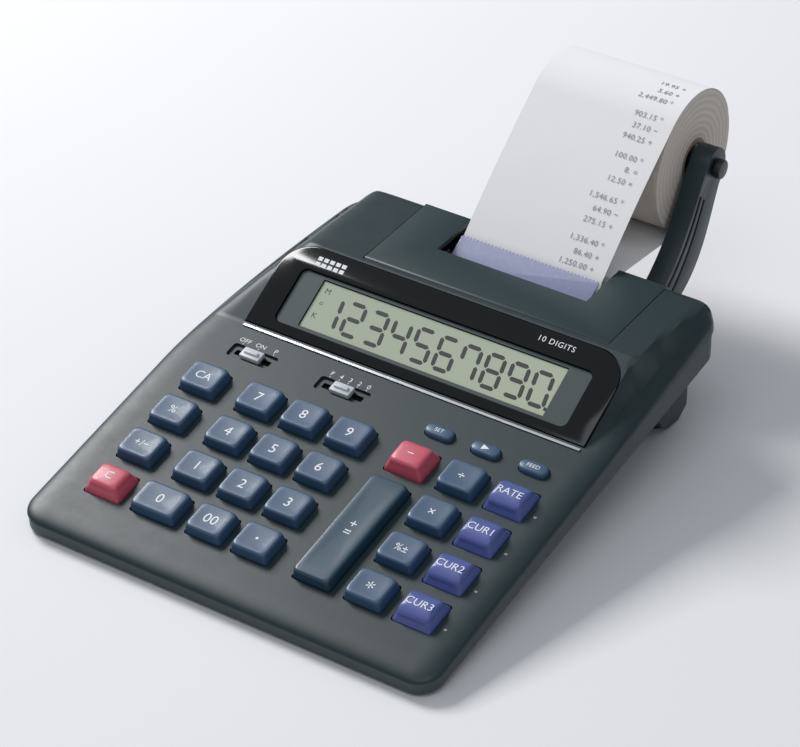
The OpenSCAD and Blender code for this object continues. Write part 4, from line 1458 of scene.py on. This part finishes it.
@dataclass
class PaperPath:
    """The paper from the roll through the printer and back over the roll, with its print."""

    layout: Layout
    sheet_t: float = 0.14
    tear_len: float = 12.5
    tear_tilt: float = 32.0
    platen_r: float = 5.0

    def __post_init__(self) -> None:
        """Works out the path's landmarks."""
        L = self.layout
        self.roll_y = L.depth + L.roll_back
        self.tear_y, self.tear_z = L.depth - 22, L.rear_h - 8.5
        a = math.radians(self.tear_tilt)
        self.exit = (self.tear_y + self.tear_len * math.cos(a) + 1.4,
                     self.tear_z + self.tear_len * math.sin(a) + 0.2)
        self.platen = (L.depth - 10.5, L.rear_h - 17)
        self.entry = (L.depth - 1.2, L.rear_h - 5)
        self.ride_r = L.roll_r + 0.3

    def _arc(self, centre: Point2, r: float, a0: float, a1: float, n: int) -> List[Point2]:
        """Points of an arc in the side view."""
        out = []
        for i in range(n + 1):
            a = math.radians(a0 + (a1 - a0) * i / n)
            out.append((centre[0] + r * math.cos(a), centre[1] + r * math.sin(a)))
        return out

    def out_path(self) -> List[Point2]:
        """From behind the roll's crest down to the exit and into the printer."""
        L = self.layout
        dy, dz = self.roll_y - self.exit[0], L.roll_z - self.exit[1]
        up = math.degrees(math.atan2(dz, dy) + math.asin(self.ride_r / math.hypot(dy, dz)))
        run = self._arc((self.roll_y, L.roll_z), self.ride_r, 20, up + 90, 40)
        end = run[-1]
        slack = []
        for i in range(1, 26):
            s = i / 26
            sag = 1.1 * math.sin(math.pi * s)
            slack.append((end[0] + (self.exit[0] - end[0]) * s, end[1] + (self.exit[1] - end[1]) * s + sag))
        front = self.platen[0] - self.platen_r - 0.35
        bend = self._arc(self.platen, self.platen_r + 0.35, 180, 345, 16)
        return run + slack + [self.exit, (front, self.platen[1] + 4)] + bend + [
            (self.entry[0] - 2.4, self.entry[1] - 2.6), self.entry]

    def in_path(self) -> List[Point2]:
        """From the rear slot to the underside of the roll."""
        L = self.layout
        fy, fz = self.roll_y - self.entry[0], L.roll_z - self.entry[1]
        down = math.degrees(math.atan2(fz, fy) - math.asin(self.ride_r / math.hypot(fy, fz)))
        return [self.entry] + self._arc((self.roll_y, L.roll_z), self.ride_r, down - 90, down - 80, 4)

    def _ribbon(self, name: str, path: List[Point2], side: float) -> bpy.types.Object:
        """A sheet along a path.

        Args:
            name: the piece's name.
            path: side-view points.
            side: which side the thickness goes.

        Returns:
            The piece.
        """
        L = self.layout
        half = L.paper_w / 2 - 0.2
        cols = [-half + 2 * half * i / 12 for i in range(13)]
        outer, inner = [], []
        for i, (y, z) in enumerate(path):
            a = path[max(i - 1, 0)]
            b = path[min(i + 1, len(path) - 1)]
            ty, tz = b[0] - a[0], b[1] - a[1]
            n = math.hypot(ty, tz) or 1.0
            ny, nz = -tz / n * side, ty / n * side
            for x in cols:
                outer.append((L.paper_x + x, y + L.shift, z))
                inner.append((L.paper_x + x, y + ny * self.sheet_t + L.shift, z + nz * self.sheet_t))
        n, m, k = len(cols), len(path), len(outer)
        faces = [[r * n + c, r * n + c + 1, (r + 1) * n + c + 1, (r + 1) * n + c] for r in range(m - 1)
                 for c in range(n - 1)]
        faces += [[k + i for i in reversed(f)] for f in faces]
        rim = [r * n for r in range(m)] + [(m - 1) * n + c for c in range(1, n)]
        rim += [r * n + n - 1 for r in range(m - 2, -1, -1)] + [c for c in range(n - 2, 0, -1)]
        faces += [[a, b, k + b, k + a] for a, b in zip(rim, rim[1:] + rim[:1])]
        return new_piece(name, outer + inner, faces, 40.0)

    def _bend(self, piece: bpy.types.Object) -> None:
        """Bakes a sheet's placement into its mesh."""
        L = self.layout
        start = (L.paper_x * MM, (self.exit[0] + 2 + L.shift) * MM, self.exit[1] * MM)
        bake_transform(piece)

    def _print_lines(self, dresser: Dresser) -> None:
        """Printed sums on the tape, laid along the path."""
        L = self.layout
        path = self.out_path()
        start = path.index(self.exit)
        run = path[start::-1]
        lengths = [0.0]
        for a, b in zip(run, run[1:]):
            lengths.append(lengths[-1] + math.dist(a, b))

        def lay(x: float, s: float) -> Point3:
            """Point of the print at a distance above the exit."""
            i = max(k for k in range(len(run) - 1) if lengths[k] <= max(s, 0.0))
            t = (s - lengths[i]) / (lengths[i + 1] - lengths[i])
            a, b = run[i], run[i + 1]
            n = math.dist(a, b)
            ny, nz = -(b[1] - a[1]) / n, (b[0] - a[0]) / n
            lift = self.sheet_t + 0.04
            return (L.paper_x + x, a[0] + (b[0] - a[0]) * t + ny * lift + L.shift,
                    a[1] + (b[1] - a[1]) * t + nz * lift)

        sums = ("1,250.00 +", "86.40 +", "1,336.40 *", "275.15 +", "64.90 −", "1,546.65 *", "12.50 ×", "8. =",
                "100.00 *", "940.25 +", "37.10 −", "903.15 *", "2,449.80 *", "5.60 +", "19.95 +", "25.55 *")
        flat: List[List[Point2]] = []
        place = 3.0
        for k, words in enumerate(sums):
            shape = flat_text(words, 2.1, 1.1)
            right = max(p[0] for t in shape for p in t)
            flat += [[(px - right + 23.5, pu + place) for px, pu in t] for t in shape]
            place += 4.6 if (k + 1) % 3 else 7.4
            if place > lengths[-1] - 30:
                break
        self._bend(dresser.dress(printed("tape_print", flat, lay, 1.6), TAPE_INK, ""))

    def build(self, dresser: Dresser) -> None:
        """Builds the paper.

        Args:
            dresser: puts the finishes on.
        """
        tape = self._ribbon("paper_tape", self.out_path(), 1.0)
        self._bend(dresser.dress(tape, TAPE, "", "paper_web"))
        feed = self._ribbon("paper_feed", self.in_path(), -1.0)
        self._bend(dresser.dress(feed, TAPE, ""))
        self._print_lines(dresser)


@dataclass
class RollStand:
    """The roll on its spindle between the two arms."""

    layout: Layout
    core_r: float = 8.5

    def _roll(self) -> bpy.types.Object:
        """The wound roll with its slightly uneven edges."""
        L = self.layout
        half = L.paper_w / 2
        profile = [(-half, self.core_r)]
        for i in range(1, 24):
            r = self.core_r + (L.roll_r - self.core_r) * i / 24
            profile.append((-half + 0.05 + 0.12 * (1 + math.sin(i * 2.4)), r))
        profile += [(-half + 0.15, L.roll_r), (half - 0.15, L.roll_r)]
        for i in range(23, 0, -1):
            r = self.core_r + (L.roll_r - self.core_r) * i / 24
            profile.append((half - 0.05 - 0.12 * (1 + math.sin(i * 1.9)), r))
        profile.append((half, self.core_r))
        steps = 96
        verts = []
        for x, r in profile:
            for k in range(steps):
                a = 2 * math.pi * k / steps
                verts.append((L.paper_x + x, L.depth + L.roll_back + r * math.cos(a) + L.shift,
                              L.roll_z + r * math.sin(a)))
        n = len(profile)
        faces = [[r * steps + k, r * steps + (k + 1) % steps, ((r + 1) % n) * steps + (k + 1) % steps,
                  ((r + 1) % n) * steps + k] for r in range(n) for k in range(steps)]
        return new_piece("wound_roll", verts, faces, 60.0)

    def build(self, dresser: Dresser) -> None:
        """Builds the roll, its spindle and the stand.

        Args:
            dresser: puts the finishes on.
        """
        L = self.layout
        centre = ((L.depth + L.roll_back + L.shift) * MM, L.roll_z * MM)
        wound = WoundPaper("roll_side", "roll_side", (0.66, 0.61, 0.55), (0.42, 0.37, 0.31), centre)
        dresser.dress(self._roll(), wound, "roll_body", "paper_roll")
        dresser.redress("roll_core", CARD)
        dresser.dress(bevelled("roll_spindle", "spindle", 0.5, 3), DARK, "roll_body", "roll_spindle")
        dresser.dress(bevelled("roll_holder", "holder_arms", 0.5, 3), TEAL, "roll_holder_body", "roll_holder")


# ---------------------------------------------------------------- studio
@dataclass
class Studio:
    """Floor, light and camera."""

    camera_at: Point3 = (0.5018, -0.7757, 0.6469)
    azimuth: float = 33.71
    elevation: float = 34.15
    lens: float = 144.7

    def build(self) -> None:
        """Builds the studio."""
        self._floor()
        self._camera()
        self._light("key", (-1.35, 0.35, 1.25), 0.7, 30.0, (1.0, 0.99, 0.98))
        self._light("fill", (0.3, -0.9, 1.6), 1.2, 6.0, (0.95, 0.97, 1.0))
        world = bpy.data.worlds.new("studio")
        world.use_nodes = True
        world.node_tree.nodes["Background"].inputs[0].default_value = (0.86, 0.89, 0.95, 1.0)
        world.node_tree.nodes["Background"].inputs[1].default_value = 0.34
        bpy.context.scene.world = world
        bpy.context.scene.view_settings.view_transform = "Standard"

    def _floor(self) -> None:
        """Plain pale floor."""
        half = 4000.0
        floor = new_piece("floor", [(-half, -half, 0), (half, -half, 0), (half, half, 0), (-half, half, 0)],
                          [[0, 1, 2, 3]])
        s = NodeSheet("floor_paper")
        s.set(Base_Color=s.mix(s.noise(3.0, 2.0), (0.80, 0.81, 0.84), (0.83, 0.84, 0.87)), Roughness=0.9)
        floor.data.materials.append(s.material)

    def _camera(self) -> None:
        """Camera at the viewing angle."""
        data = bpy.data.cameras.new("camera")
        data.lens = self.lens
        data.sensor_width = 36.0
        data.clip_end = 20.0
        camera = bpy.data.objects.new("camera", data)
        bpy.context.scene.collection.objects.link(camera)
        camera.location = self.camera_at
        camera.rotation_euler = (math.radians(90 - self.elevation), 0.0, math.radians(self.azimuth))
        bpy.context.scene.camera = camera

    def _light(self, name: str, at: Point3, size: float, power: float, colour: Point3) -> None:
        """A soft square light aimed at the object.

        Args:
            name: its name.
            at: its place.
            size: its side.
            power: its power in watts.
            colour: its colour.
        """
        data = bpy.data.lights.new(name, "AREA")
        data.shape = "SQUARE"
        data.size = size
        data.energy = power
        data.color = colour
        lamp = bpy.data.objects.new(name, data)
        bpy.context.scene.collection.objects.link(lamp)
        lamp.location = at
        lamp.rotation_euler = (-Vector(at)).to_track_quat("-Z", "Y").to_euler()


def main() -> None:
    """Builds every sub-assembly in order."""
    logging.basicConfig(level=logging.INFO, format="%(name)s: %(message)s")
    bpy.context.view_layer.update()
    layout = Layout()
    dresser = Dresser()
    Studio().build()
    UpperCase(layout).build(dresser)
    Keypad(layout).build(dresser)
    WindowPanel(layout).build(dresser)
    DeckPrint(layout).build(dresser)
    CaseFurniture(layout).build(dresser)
    PrinterWorks().build(dresser)
    PaperPath(layout).build(dresser)
    RollStand(layout).build(dresser)


if __name__ == "__main__":
    main()
